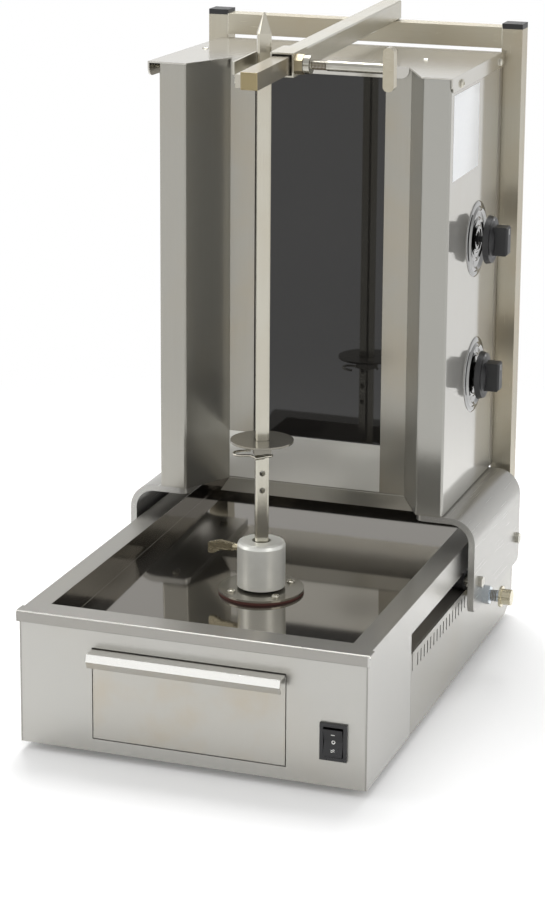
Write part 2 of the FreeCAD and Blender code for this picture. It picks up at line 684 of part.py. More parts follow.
def finish_on_skewer(item, label):
    """Place a piece that is drawn about the skewer's axis, square with the skewer."""
    item.Label = label
    item.Placement = FreeCAD.Placement(Vector(), FreeCAD.Rotation(Z_AXIS, number("spit_turn")))
    turned = {
        "Placement.Rotation.Angle": "spit_turn",
        "Placement.Base.x": "-origin_x",
        "Placement.Base.y": "hub_place - origin_y",
    }
    bind(item, turned)
    nodes.append(item)


def finish_on_arm(item, label):
    """Place a piece that is drawn along the arm, from the crossbar's front upper edge."""
    item.Label = label
    item.Placement = FreeCAD.Placement(Vector(), FreeCAD.Rotation(X_AXIS, number("arm_tilt")))
    tilted = {
        "Placement.Rotation.Angle": "arm_tilt",
        "Placement.Base.x": "-origin_x",
        "Placement.Base.y": "post_front - origin_y",
        "Placement.Base.z": "crossbar_z",
    }
    bind(item, tilted)
    nodes.append(item)


# Base


def make_top_shell():
    """Rim, sunken pan with a floor that falls to the front, side skirts, back skirt and front lip."""
    body = new_body("top_shell")
    rim = rectangle("-half_base", "0", "half_base", "base_depth")
    opening = rectangle("-half_pan", "pan_front", "half_pan", "pan_back")
    pad(body, sketch(body, "XY", "rim_top - sheet_wall", [rim, opening]), "sheet_wall")
    lip = [
        ("-half_base - lip_out", "-lip_out"),
        ("half_base + lip_out", "-lip_out"),
        ("half_base + lip_out", "lip_return"),
        ("half_base", "lip_return"),
        ("half_base", "0"),
        ("-half_base", "0"),
        ("-half_base", "lip_return"),
        ("-half_base - lip_out", "lip_return"),
    ]
    pad(body, sketch(body, "XY", "rim_top - lip_tall", [lip]), "lip_tall")
    side = [
        ("0", "foot_tall"),
        ("front_block", "foot_tall"),
        ("front_block", "skirt_low"),
        ("base_depth", "skirt_low"),
        ("base_depth", "rim_top"),
        ("0", "rim_top"),
    ]
    for place in ("-half_base", "half_base - sheet_wall"):
        pad(body, sketch(body, "YZ", place, [side]), "sheet_wall")
    back = rectangle("-half_base", "skirt_low", "half_base", "rim_top")
    pad(body, sketch(body, "XZ", "base_depth - sheet_wall", [back]), "sheet_wall")
    outside = [
        ("pan_front - sheet_wall", "rim_top - sheet_wall"),
        ("pan_front - sheet_wall", "floor_front - sheet_wall"),
        ("pan_back + sheet_wall", "floor_back - sheet_wall"),
        ("pan_back + sheet_wall", "rim_top - sheet_wall"),
    ]
    walls = sketch(body, "YZ", "-half_pan - sheet_wall", [outside])
    pad(body, walls, "2 * half_pan + 2 * sheet_wall")
    inside = [
        ("pan_front", "rim_top"),
        ("pan_front", "floor_front"),
        ("pan_back", "floor_back"),
        ("pan_back", "rim_top"),
    ]
    pocket(body, sketch(body, "YZ", "-half_pan", [inside]), "2 * half_pan")
    holes = [
        Circle("drawer_middle", "drain_place", "drain_radius"),
        Circle("0", "hub_place", "boss_radius + boss_gap"),
    ]
    holes += [Circle(x, y, "screw_radius + screw_fit") for x, y in flange_screw_places()]
    pocket(body, sketch(body, "XY", "rim_top", [*holes]), "pan_deep_front + sheet_wall", to_low=True)
    finish(body, "top_shell")


def flange_screw_places():
    """The four screws of the hub's flange, on the diagonals."""
    reach = "screw_circle * sqrt(0.5)"
    return [(f"{x} * {reach}", f"hub_place + {y} * {reach}") for x in (-1, 1) for y in (-1, 1)]


def make_front_panel():
    """Front sheet with the cut-outs for the drawer and the switch, and a fold under the base."""
    body = new_body("front_panel")
    inside = "half_base - sheet_wall"
    sheet_edge = rectangle(f"-({inside})", "foot_tall", inside, "rim_top - sheet_wall")
    drawer = rectangle(
        "drawer_middle - drawer_opening / 2",
        "foot_tall + drawer_floor",
        "drawer_middle + drawer_opening / 2",
        "foot_tall + drawer_head",
    )
    switch = rectangle(
        "switch_place - switch_width / 2 + screw_fit + lip_out",
        "switch_z - switch_tall / 2 + screw_fit + lip_out",
        "switch_place + switch_width / 2 - screw_fit - lip_out",
        "switch_z + switch_tall / 2 - screw_fit - lip_out",
    )
    pad(body, sketch(body, "XZ", "0", [sheet_edge, drawer, switch]), "sheet_wall")
    fold = rectangle("-half_base + sheet_wall", "0", "half_base - sheet_wall", "return_fold")
    pad(body, sketch(body, "XY", "foot_tall", [fold]), "sheet_wall")
    finish(body, "front_panel")


def make_rear_housing():
    """Lower side walls with the guide rails and the row of index slits, slanted heel and back wall."""
    body = new_body("rear_housing")
    side = [
        ("housing_front", "foot_tall"),
        ("base_depth - heel_run", "foot_tall"),
        ("base_depth", "foot_tall + heel_rise"),
        ("base_depth", "rail_top"),
        ("housing_front", "rail_top"),
    ]
    for place in ("-half_base", "half_base - sheet_wall"):
        pad(body, sketch(body, "YZ", place, [side]), "sheet_wall")
    back = rectangle("-half_base", "foot_tall + heel_rise", "half_base", "skirt_low - seam_gap")
    pad(body, sketch(body, "XZ", "base_depth - sheet_wall", [back]), "sheet_wall")
    heel = [
        ("base_depth - heel_run", "foot_tall"),
        ("base_depth", "foot_tall + heel_rise"),
        ("base_depth", "foot_tall + heel_rise + sheet_wall"),
        ("base_depth - heel_run", "foot_tall + sheet_wall"),
    ]
    pad(body, sketch(body, "YZ", "-half_base", [heel]), "base_width")
    entry = Circle("gland_place", "foot_tall + gland_height", "gland_thread + screw_fit")
    pocket(body, sketch(body, "XZ", "base_depth", [entry]), "sheet_wall", to_low=True)
    slit = rectangle(
        "slit_first - slit_width / 2", "slit_z", "slit_first + slit_width / 2", "slit_z + slit_tall"
    )
    cut = pocket(body, sketch(body, "YZ", "half_base", [slit]), "sheet_wall", to_low=True)
    row_along(body, cut, "Y", "slit_pitch * (slit_count - 1)", "slit_count")
    relief = rectangle(
        "relief_place - relief_width / 2",
        "rail_top - relief_tall",
        "relief_place + relief_width / 2",
        "rail_top + sheet_wall",
    )
    pocket(body, sketch(body, "YZ", "-half_base", [relief]), "base_width")
    finish(body, "rear_housing")


def make_guide_channels():
    """Folded channels behind the guide slots, in which the carriage's bushes run."""
    for label, sign in (("guide_channel_left", "-1"), ("guide_channel_right", "1")):
        body = new_body(label)
        web, wall = "channel_web", "half_base - sheet_wall"
        corners = [
            (wall, "rail_top - sheet_wall"),
            (web, "rail_top - sheet_wall"),
            (web, "skirt_low + sheet_wall"),
            (wall, "skirt_low + sheet_wall"),
            (wall, "skirt_low"),
            (f"{web} + sheet_wall", "skirt_low"),
            (f"{web} + sheet_wall", "rail_top"),
            (wall, "rail_top"),
        ]
        section = [(f"{sign} * ({x})", z) for x, z in corners]
        pad(body, sketch(body, "XZ", "housing_front", [section]), "base_depth - sheet_wall - housing_front")
        finish(body, label)


def make_bottom():
    """Bottom plate on the folds, and the four feet that stand through it."""
    body = new_body("bottom_plate")
    side = "half_base - sheet_wall"
    plate = rectangle(f"-({side})", "sheet_wall", side, "base_depth - heel_run")
    holes = [Circle(x, y, "foot_radius") for x, y in foot_places()]
    pad(body, sketch(body, "XY", "foot_tall + sheet_wall", [plate, *holes]), "sheet_wall")
    finish(body, "bottom_plate")
    feet = []
    for index, (x, y) in enumerate(foot_places()):
        foot = cylinder(f"foot_{index}", "foot_radius", "deck", (x, y, "0"))
        feet.append(foot)
    finish(group("feet", feet), "feet")


def foot_places():
    """Centres of the four feet."""
    columns = ("-half_base + foot_inset", "half_base - foot_inset")
    return [(x, y) for x in columns for y in ("foot_inset", "base_depth - heel_run - foot_inset")]


def make_drawer_runners():
    """Folded rails on the bottom plate that carry the fat drawer."""
    for label, sign in (("drawer_runner_left", "-1"), ("drawer_runner_right", "1")):
        body = new_body(label)
        web = "(drawer_width / 2 + runner_gap)"
        ledge_low = "drawer_low - sheet_wall"
        profile = [
            (f"drawer_middle + {sign} * ({web} - runner_ledge)", ledge_low),
            (f"drawer_middle + {sign} * {web}", ledge_low),
            (f"drawer_middle + {sign} * {web}", "deck + sheet_wall"),
            (f"drawer_middle + {sign} * ({web} - runner_ledge)", "deck + sheet_wall"),
            (f"drawer_middle + {sign} * ({web} - runner_ledge)", "deck"),
            (f"drawer_middle + {sign} * ({web} + sheet_wall)", "deck"),
            (f"drawer_middle + {sign} * ({web} + sheet_wall)", "deck + runner_tall"),
            (f"drawer_middle + {sign} * {web}", "deck + runner_tall"),
            (f"drawer_middle + {sign} * {web}", "drawer_low"),
            (f"drawer_middle + {sign} * ({web} - runner_ledge)", "drawer_low"),
        ]
        pad(body, sketch(body, "XZ", "sheet_wall + seam_gap", [profile]), "drawer_deep")
        finish(body, label)


def make_cable_gland():
    """Gland in the back wall, where the mains cable enters."""
    middle = ("gland_place", "foot_tall + gland_height")
    inner = "base_depth - 2 * gland_hex_tall"
    start = (middle[0], inner, middle[1])
    outside = (middle[0], "base_depth", middle[1])
    thread = cylinder("gland_thread_part", "gland_thread", "gland_hex_tall * 2", start, Y_AXIS)
    hexed = hexagon("gland_hexagon", "gland_hex", "gland_hex_tall", outside, Y_AXIS)
    dome = cylinder("gland_dome_nut", "gland_dome", "gland_long", outside, Y_AXIS)
    bore = cylinder(
        "gland_bore_tool",
        "gland_bore",
        "gland_long + 4 * gland_hex_tall",
        (middle[0], "base_depth - 3 * gland_hex_tall", middle[1]),
        Y_AXIS,
    )
    body = joined("gland_body", [thread, hexed, dome])
    finish(without("cable_gland", body, bore), "cable_gland")


# Drive


def make_motor():
    """Gearmotor with its output boss, and the plate that carries it under the pan."""
    body = new_body("motor_plate")
    half = "motor_plate_side / 2"
    plate = rectangle(f"-{half}", f"hub_place - {half}", half, f"hub_place + {half}")
    holes = [Circle(x, y, "screw_radius + screw_fit") for x, y in flange_screw_places()]
    holes.append(Circle("0", "hub_place", "boss_radius + boss_gap"))
    pad(body, sketch(body, "XY", "plate_low", [plate, *holes]), "motor_plate_thick")
    finish(body, "motor_plate")
    body = new_body("gearmotor")
    bore = "shaft_radius + shaft_fit"
    profile = [
        ("0", "gearbox_low - motor_tall"),
        ("motor_radius", "gearbox_low - motor_tall"),
        ("motor_radius", "gearbox_low"),
        ("gearbox_radius", "gearbox_low"),
        ("gearbox_radius", "plate_low"),
        ("boss_radius", "plate_low"),
        ("boss_radius", "plate_top + boss_tall"),
        (bore, "plate_top + boss_tall"),
        (bore, "shaft_low"),
        ("0", "shaft_low"),
    ]
    revolve(body, sketch(body, "XZ", "hub_place", [profile]))
    finish(body, "gearmotor")


def make_flange():
    """Wedge gasket on the sloping pan floor, the flat flange on it, its screws and the shaft seal."""
    body = new_body("flange_gasket")
    clear = "seal_radius + screw_fit"
    holes = [Circle(x, y, "screw_radius + screw_fit") for x, y in flange_screw_places()]
    rim = Circle("0", "hub_place", "flange_radius")
    middle = Circle("0", "hub_place", clear)
    lowest = "hub_floor - floor_slope * flange_radius"
    pad(body, sketch(body, "XY", lowest, [rim, middle, *holes]), f"flange_low - ({lowest})")
    below = [
        ("hub_place - flange_radius", "hub_floor - gasket_thick * 2"),
        ("hub_place + flange_radius", "hub_floor - gasket_thick * 2"),
        ("hub_place + flange_radius", "hub_floor + floor_slope * flange_radius"),
        ("hub_place - flange_radius", "hub_floor - floor_slope * flange_radius"),
    ]
    pocket(body, sketch(body, "YZ", "-flange_radius", [below]), "2 * flange_radius")
    finish(body, "flange_gasket")
    body = new_body("hub_flange")
    pad(body, sketch(body, "XY", "flange_low", [rim, middle, *holes]), "flange_thick")
    finish(body, "hub_flange")
    screws = []
    for index, (x, y) in enumerate(flange_screw_places()):
        head = cylinder(f"flange_screw_head_{index}", "screw_head", "screw_head_tall", (x, y, "flange_top"))
        foot = (x, y, "plate_low")
        shank = cylinder(f"flange_shank_{index}", "screw_radius", "flange_top - plate_low", foot)
        screws.append(joined(f"flange_screw_{index}", [head, shank]))
    finish(group("flange_screws", screws), "flange_screws")
    body = new_body("shaft_seal")
    hole = Circle("0", "hub_place", "shaft_radius + seal_fit")
    pad(body, sketch(body, "XY", "flange_low", [Circle("0", "hub_place", "seal_radius"), hole]), "seal_tall")
    finish(body, "shaft_seal")


def make_hub():
    """Round hub with the skewer's socket above and the drive shaft below, and its clamping screw."""
    body = new_body("hub")
    grip = "shaft_radius"
    profile = [
        (grip, "hub_low"),
        ("hub_radius", "hub_low"),
        ("hub_radius", "hub_top - hub_round"),
        ("hub_radius - hub_shoulder", "hub_top - hub_shoulder"),
        ("hub_radius - hub_round", "hub_top"),
        ("socket_radius", "hub_top"),
        ("socket_radius", "socket_low"),
        ("0", "socket_low"),
        ("0", "hub_low + shaft_grip"),
        (grip, "hub_low + shaft_grip"),
    ]
    revolve(body, sketch(body, "XZ", "hub_place", [profile]))
    thread = Circle("0", "0", "lever_stud + lever_fit")
    hole = sketch(body, "YZ", "-hub_radius", [thread], origin=("hub_place", "lever_z"))
    pocket(body, hole, "hub_radius - socket_radius + seam_gap")
    finish(body, "hub")
    foot = ("0", "hub_place", "shaft_low")
    shaft = cylinder("shaft_bar", "shaft_radius", "hub_low + shaft_grip - shaft_low", foot)
    finish(group("drive_shaft", [shaft]), "drive_shaft")


def make_hub_lever():
    """Screw that holds the skewer in the hub, with a flattened and curved handle."""
    body = new_body("hub_lever")
    stud = Circle("0", "0", "lever_stud")
    start = "-hub_radius - lever_neck"
    drawing = sketch(body, "YZ", start, [stud], origin=("hub_place", "lever_z"))
    pad(body, drawing, "lever_neck + hub_radius - socket_radius - lever_fit")
    half = "lever_wide / 2"
    outline = [
        (f"{start} + lever_root", "lever_z - lever_stud"),
        (f"{start} + lever_root", "lever_z + lever_stud"),
        (f"{start} - lever_knee", f"lever_z + {half}"),
        (f"{start} - lever_long", f"lever_z + {half} - lever_stud"),
        (f"{start} - lever_long", f"lever_z - {half} - lever_stud"),
        (f"{start} - lever_heel", f"lever_z - {half} - lever_stud"),
        (f"{start} - lever_hollow", f"lever_z - {half} + lever_root"),
    ]
    pad(body, sketch(body, "XZ", "hub_place - lever_thick / 2", [outline]), "lever_thick")
    ends = any_edge(
        straight_edge(Y_AXIS, x=f"{start} - lever_long"),
        straight_edge(Y_AXIS, x=f"{start} - lever_knee"),
    )
    dress(body, "Fillet", "lever_thick / 2", ends)
    finish(body, "hub_lever")


# Skewer


def square_corners(half, bevel):
    """A square round the origin with bevelled corners."""
    near = f"{half} - {bevel}"
    pairs = [(half, near), (near, half)]
    corners = [(f"{x}", f"{y}") for x, y in pairs]
    corners += [(f"-({x})", f"{y}") for x, y in reversed(pairs)]
    corners += [(f"-({x})", f"-({y})") for x, y in pairs]
    corners += [(f"{x}", f"-({y})") for x, y in reversed(pairs)]
    return corners


def make_spit():
    """Square bar with bevelled corners, a pyramid point and three cross holes."""
    body = new_body("spit")
    bar = square_corners("spit_half", "spit_bevel")
    pad(body, sketch(body, "XY", "socket_low", [bar]), "spit_high - socket_low")
    point = body.newObject("PartDesign::AdditiveLoft", "spit_loft")
    point.Profile = sketch(body, "XY", "spit_high", [bar])
    tip = square_corners("spit_half * spit_blunt", "spit_bevel * spit_blunt")
    point.Sections = [sketch(body, "XY", "spit_high + spit_point", [tip])]
    point.Ruled = True
    low = "foot_tall + spit_hole_low"
    holes = [Circle("0", f"{low} + {step} * spit_hole_pitch", "spit_hole") for step in range(3)]
    pocket(body, sketch(body, "XZ", "-spit_half", [*holes]), "spit_side")
    finish_on_skewer(body, "spit")


def make_meat_disc():
    """Round disc with a square collar that slides on the skewer."""
    body = new_body("meat_disc")
    hole = square_corners("spit_half + disc_fit", "spit_bevel")
    pad(body, sketch(body, "XY", "disc_low", [Circle("0", "0", "disc_radius"), hole]), "disc_thick")
    collar_half = "spit_half + disc_fit + disc_collar"
    collar = rectangle(f"-({collar_half})", f"-({collar_half})", collar_half, collar_half)
    drop = "disc_seat - pin_radius - disc_fit"
    pad(body, sketch(body, "XY", f"disc_low - ({drop})", [collar, hole]), drop)
    finish_on_skewer(body, "meat_disc")


def make_disc_pin():
    """Bent wire pin: one leg through the skewer, then round its side into an eye."""
    front = number("spit_half + 3 * pin_radius")
    side = number("spit_half + 2 * pin_radius")
    eye = number("pin_eye")
    wide = number("pin_eye_wide")
    height = number("pin_z")
    route = [
        Vector(0, front, height),
        Vector(0, -front, height),
        Vector(-side, -front, height),
        Vector(-side, 0, height),
        Vector(-side - eye * 0.7, -wide / 8, height),
        Vector(-side - eye, wide / 4, height),
        Vector(-side - eye, wide, height),
        Vector(-side - eye * 0.7, wide * 1.25, height),
        Vector(-side, wide * 1.25, height),
    ]
    path = Part.makePolygon(route)
    section = Part.Wire([Part.Circle(route[0], Y_AXIS, number("pin_radius")).toShape()])
    item = doc.addObject("Part::Feature", "disc_pin")
    item.Shape = path.makePipeShell([section], True, False, MITRED)
    finish_on_skewer(item, "disc_pin")


# Drawer and switch


def make_drawer():
    """Open fat box, and its front with the folded handle."""
    body = new_body("drawer_box")
    left, right = "drawer_middle - drawer_width / 2", "drawer_middle + drawer_width / 2"
    outer = rectangle(left, "sheet_wall", right, "sheet_wall + drawer_deep")
    inner = rectangle(
        f"{left} + drawer_wall",
        "sheet_wall + drawer_wall",
        f"{right} - drawer_wall",
        "sheet_wall + drawer_deep - drawer_wall",
    )
    pad(body, sketch(body, "XY", "drawer_low", [outer]), "drawer_tall")
    inside = sketch(body, "XY", "drawer_low + drawer_wall", [inner])
    pocket(body, inside, "drawer_tall - drawer_wall")
    finish(body, "drawer_box")
    body = new_body("drawer_front")
    edge = "drawer_high"
    strip = "drawer_high - handle_strip"
    hem = "drawer_high - handle_strip - handle_hem"
    tip = "-handle_out - handle_lean + handle_back"
    profile = [
        ("0", "drawer_low"),
        ("sheet_wall", "drawer_low"),
        ("sheet_wall", edge),
        ("-handle_out", edge),
        ("-handle_out - handle_lean", strip),
        (tip, hem),
        (f"{tip} + sheet_wall", hem),
        ("-handle_out - handle_lean + sheet_wall", strip),
        ("-handle_out + sheet_wall", f"{edge} - sheet_wall"),
        ("0", f"{edge} - sheet_wall"),
    ]
    width = "2 * front_half"
    pad(body, sketch(body, "YZ", "drawer_middle - front_half", [profile]), width)
    finish(body, "drawer_front")


def make_switch():
    """Switch body with its bezel, and the three-position rocker in it."""
    body = new_body("switch_housing")
    half, tall = "switch_width / 2", "switch_tall / 2"
    frame = ("switch_place", "switch_z")
    neck = "(lip_out + 2 * screw_fit)"
    inner = rectangle(f"-{half} + {neck}", f"-{tall} + {neck}", f"{half} - {neck}", f"{tall} - {neck}")
    pad(body, sketch(body, "XZ", "0", [inner], frame), "switch_deep")
    bezel = rectangle(f"-{half}", f"-{tall}", half, tall)
    pad(body, sketch(body, "XZ", "-switch_out", [bezel], frame), "switch_out")
    well = rectangle(
        f"-{half} + switch_rim", f"-{tall} + switch_rim", f"{half} - switch_rim", f"{tall} - switch_rim"
    )
    pocket(body, sketch(body, "XZ", "-switch_out", [well], frame), "switch_out + 3 * pivot_deep")
    bore = Circle("pivot_deep", "switch_z", "pivot_radius + pivot_fit")
    pocket(body, sketch(body, "YZ", "switch_place - switch_width / 2", [bore]), "switch_width")
    finish(body, "switch_housing")
    body = new_body("rocker")
    room = "switch_rim + rocker_gap"
    reach = f"({tall} - {room} - rocker_swing)"
    face = "-switch_out - rocker_out"
    profile = [
        (face, f"switch_z + {reach}"),
        ("-rocker_dip", "switch_z"),
        (face, f"switch_z - {reach}"),
        ("pivot_deep", f"switch_z - {reach} + rocker_taper"),
        ("pivot_deep * 2", "switch_z"),
        ("pivot_deep", f"switch_z + {reach} - rocker_taper"),
    ]
    left = f"switch_place - {half} + {room}"
    pad(body, sketch(body, "YZ", left, [profile]), f"switch_width - 2 * ({room})")
    pin = Circle("pivot_deep", "switch_z", "pivot_radius")
    pins = sketch(body, "YZ", "switch_place - well_half - pivot_pin", [pin])
    pad(body, pins, "2 * (well_half + pivot_pin)")
    finish(body, "rocker")


# Heating tower


def make_tower_floor():
    """Floor of the tower on the brackets, with the apron below the recess."""
    body = new_body("tower_floor")
    side, front = "half_tower - floor_relief", "tower_front + floor_relief"
    plan = [
        (f"-({side})", "tower_back"),
        (f"-({side})", front),
        ("-flange_inside", front),
        ("-recess_half", "recess_place + floor_relief"),
        ("recess_half", "recess_place + floor_relief"),
        ("flange_inside", front),
        (side, front),
        (side, "tower_back"),
    ]
    holes = [Circle(x, y, "tower_bolt + screw_fit") for x, y in tower_bolt_places()]
    pad(body, sketch(body, "XY", "carriage_top", [plan, *holes]), "sheet_wall")
    apron = [
        ("-apron_half", "carriage_top - apron_tall"),
        ("apron_half", "carriage_top - apron_tall"),
        ("recess_half", "carriage_top"),
        ("-recess_half", "carriage_top"),
    ]
    pad(body, sketch(body, "XZ", "recess_place", [apron]), "frame_thick")
    finish(body, "tower_floor")


def tower_bolt_places():
    """Bolts that hold the tower on its brackets."""
    return [
        (f"{sign} * tower_bolt_side", place)
        for sign in (-1, 1)
        for place in ("tower_bolt_front", "tower_bolt_back")
    ]


def make_side_shells():
    """Side panel, front flange and slanted wing in one folded sheet, left and right."""
    for label, sign in (("side_shell_left", "-1"), ("side_shell_right", "1")):
        body = new_body(label)
        corners = [
            ("half_tower - return_fold", "tower_back"),
            ("half_tower", "tower_back"),
            ("half_tower", "tower_front"),
            ("flange_inside", "tower_front"),
            ("recess_half", "recess_place"),
            ("recess_half + wing_wall", "recess_place"),
            ("flange_inside + wing_wall - wing_run * sheet_wall", "tower_front + sheet_wall"),
            ("half_tower - sheet_wall", "tower_front + sheet_wall"),
            ("half_tower - sheet_wall", "tower_back - sheet_wall"),
            ("half_tower - return_fold", "tower_back - sheet_wall"),
        ]
        section = [(f"{sign} * ({x})", y) for x, y in corners]
        pad(body, sketch(body, "XY", "tower_low", [section]), "shell_top - tower_low")
        bends = any_edge(
            straight_edge(Z_AXIS, x=f"{sign} * half_tower"),
            straight_edge(Z_AXIS, x=f"{sign} * flange_inside", y="tower_front"),
        )
        dress(body, "Fillet", "bend_radius", bends)
        screws = [
            Circle(place, "lid_screw_z", "screw_radius + screw_fit")
            for place in ("lid_screw_front", "lid_screw_back")
        ]
        wall = "half_tower - sheet_wall" if sign == "1" else "-half_tower"
        if sign == "1":
            screws += [
                Circle("knob_upper_place", "knob_upper_z", "regulator_bush + screw_fit"),
                Circle("knob_lower_place", "knob_lower_z", "regulator_bush + screw_fit"),
            ]
        pocket(body, sketch(body, "YZ", wall, [*screws]), "sheet_wall")
        finish(body, label)


def make_window():
    """Window frame, glass ceramic panel, insulation board and the two heating elements."""
    body = new_body("glass_frame")
    edge = rectangle("-recess_half", "tower_low", "recess_half", "shell_top")
    window = rectangle("-window_half", "window_z", "window_half", "tower_top - lid_lip_tall + frame_thick")
    pad(body, sketch(body, "XZ", "recess_place", [edge, window]), "frame_thick")
    finish(body, "glass_frame")
    side = "(window_half + glass_overlap)"
    low, high = "window_z - glass_overlap", "shell_top - frame_thick"
    glass = block("glass_box", (f"-{side}", "frame_back", low), (side, "glass_back", high))
    finish(group("glass_panel", [glass]), "glass_panel")
    body = new_body("insulation_board")
    outer = rectangle(f"-{side}", low, side, high)
    pad(body, sketch(body, "XZ", "glass_back", [outer]), "board_gap + board_thick")
    inner = rectangle(
        f"-{side} + glass_overlap",
        f"{low} + glass_overlap",
        f"{side} - glass_overlap",
        f"{high} - glass_overlap",
    )
    pocket(body, sketch(body, "XZ", "glass_back", [inner]), "board_gap")
    finish(body, "insulation_board")
    tubes = range(int(number("element_count")))
    elements = [heating_element(zone, tube) for zone in range(2) for tube in tubes]
    finish(group("heating_elements", elements), "heating_elements")


def heating_element(zone, tube):
    """Quartz tube between two ceramic ends that stand on the insulation board."""
    height = f"foot_tall + element_low + {zone} * element_step + {tube} * element_pitch"
    name = f"element_{zone}_{tube}"
    axis_place = "board_front - element_end / 2"
    start = ("-element_reach", axis_place, height)
    glow = cylinder(f"{name}_glow", "element_radius", "2 * element_reach", start, X_AXIS)
    ends = []
    for side, left in (("left", "-element_reach - element_end"), ("right", "element_reach")):
        low = (left, "board_front - element_end", f"{height} - element_end / 2")
        high = (f"{left} + element_end", "board_front", f"{height} + element_end / 2")
        ends.append(block(f"{name}_{side}", low, high))
    return joined(name, [glow, *ends])


def make_back_panel():
    """Rear sheet of the tower with a row of vent slots."""
    body = new_body("back_panel")
    edge = rectangle("-half_tower", "tower_low", "half_tower", "shell_top")
    pad(body, sketch(body, "XZ", "tower_back", [edge]), "sheet_wall")
    for left in ("-half_tower", "half_tower - sheet_wall"):
        fold = rectangle(left, "tower_low", f"{left} + sheet_wall", "tower_top - lid_tall - seam_gap")
        pad(body, sketch(body, "XZ", "tower_back", [fold]), "sheet_wall + back_flange")
    low = "foot_tall + vent_low"
    slot = rectangle("-vent_wide / 2", low, "vent_wide / 2", f"{low} + vent_tall")
    cut = pocket(body, sketch(body, "XZ", "tower_back", [slot]), "sheet_wall")
    row_along(body, cut, "Z", "vent_pitch * (vent_count - 1)", "vent_count")
    finish(body, "back_panel")


def make_lid():
    """Lid that follows the recess, with lips at the sides, the back and over the window."""
    body = new_body("lid")
    notch = "lid_recess_half + wing_run * (lid_recess - lid_front)"
    plan = [
        ("lid_half", "lid_back"),
        ("lid_half", "lid_front"),
        (notch, "lid_front"),
        ("lid_recess_half", "lid_recess"),
        ("-lid_recess_half", "lid_recess"),
        (f"-({notch})", "lid_front"),
        ("-lid_left", "lid_front"),
        ("-lid_half", "lid_back"),
    ]
    pad(body, sketch(body, "XY", "shell_top", [plan]), "sheet_wall")
    low = "tower_top - lid_tall"
    for lip in (
        [
            ("-lid_left", "lid_front"),
            ("-lid_left + sheet_wall", "lid_front"),
            ("-lid_half + sheet_wall", "lid_back"),
            ("-lid_half", "lid_back"),
        ],
        rectangle("lid_half - sheet_wall", "lid_front", "lid_half", "lid_back"),
    ):
        pad(body, sketch(body, "XY", low, [lip]), "lid_tall")
    dress(body, "Fillet", "lid_round", straight_edge(X_AXIS, y="lid_front", z=low))
    screws = [
        Circle(place, "lid_screw_z", "screw_radius + screw_fit")
        for place in ("lid_screw_front", "lid_screw_back")
    ]
    pocket(body, sketch(body, "YZ", "-lid_left", [*screws]), "lid_left + lid_half")
    back = rectangle("-lid_half", low, "lid_half", "tower_top")
    pad(body, sketch(body, "XZ", "lid_back - sheet_wall", [back]), "sheet_wall")
    lip_low = "tower_top - lid_lip_tall"
    lip = rectangle("-lid_recess_half", lip_low, "lid_recess_half", "tower_top")
    pad(body, sketch(body, "XZ", "lid_recess", [lip]), "sheet_wall")
    dress(body, "Fillet", "lid_round", straight_edge(Y_AXIS, z=lip_low))
    finish(body, "lid")
    screws = []
    for place in ("lid_screw_front", "lid_screw_back"):
        lean = f"lid_slope * (lid_back - {place})"
        for side, axis, start, gap in (
            ("left", -X_AXIS, "-lid_half", f"{lean} + 2 * screw_fit"),
            ("right", X_AXIS, "lid_half", "0"),
        ):
            sign = "-" if side == "left" else "+"
            name = f"{place}_{side}"
            seat = (f"{start} {sign} ({gap})", place, "lid_screw_z")
            head = cylinder(f"{name}_head", "screw_head", "screw_head_tall", seat, axis)
            shank = cylinder(f"{name}_shank", "screw_radius", f"3 * screw_head_tall + {gap}", seat, -axis)
            screws.append(joined(name, [head, shank]))
    finish(group("lid_screws", screws), "lid_screws")


# Temperature controls


def make_controls():
    """Two energy regulators behind the right side panel, with bezels and knobs outside."""
    names = ("upper", "lower")
    places = [(name, f"knob_{name}_place", f"knob_{name}_z") for name in names]
    regulators = [regulator(f"regulator_{name}", y, z) for name, y, z in places]
    finish(group("regulators", regulators), "regulators")
    finish(group("knob_bezels", [knob_bezel(f"bezel_{name}", y, z) for name, y, z in places]), "knob_bezels")
    for name, y, z in places:
        make_knob(f"knob_{name}", y, z, f"knob_{name}_start")


def regulator(label, y, z):
    """Energy regulator with its threaded bush and shaft."""
    wall = "half_tower - sheet_wall"
    half = "regulator_side / 2"
    case = block(
        f"{label}_case",
        (f"{wall} - regulator_deep", f"{y} - {half}", f"{z} - {half}"),
        (wall, f"{y} + {half}", f"{z} + {half}"),
    )
    bush = cylinder(f"{label}_bush", "regulator_bush", "sheet_wall + bezel_thick", (wall, y, z), X_AXIS)
    shaft = cylinder(
        f"{label}_shaft", "regulator_shaft", "sheet_wall + shaft_reach", (wall, y, z), X_AXIS
    )
    return joined(label, [case, bush, shaft])


def knob_bezel(label, y, z):
    """Chrome bezel with a sunken ring, round the knob's shaft."""
    body = new_body(label)
    inner = "regulator_bush + screw_fit"
    profile = [
        ("half_tower", inner),
        ("half_tower + bezel_floor", inner),
        ("half_tower + bezel_floor", "bezel_dish"),
        ("bezel_out", "bezel_ring"),
        ("half_tower + bezel_floor", "knob_bezel"),
        ("half_tower", "knob_bezel"),
    ]
    revolve(body, sketch(body, "XY", z, [profile], origin=("0", y)), "H_Axis")
    return body


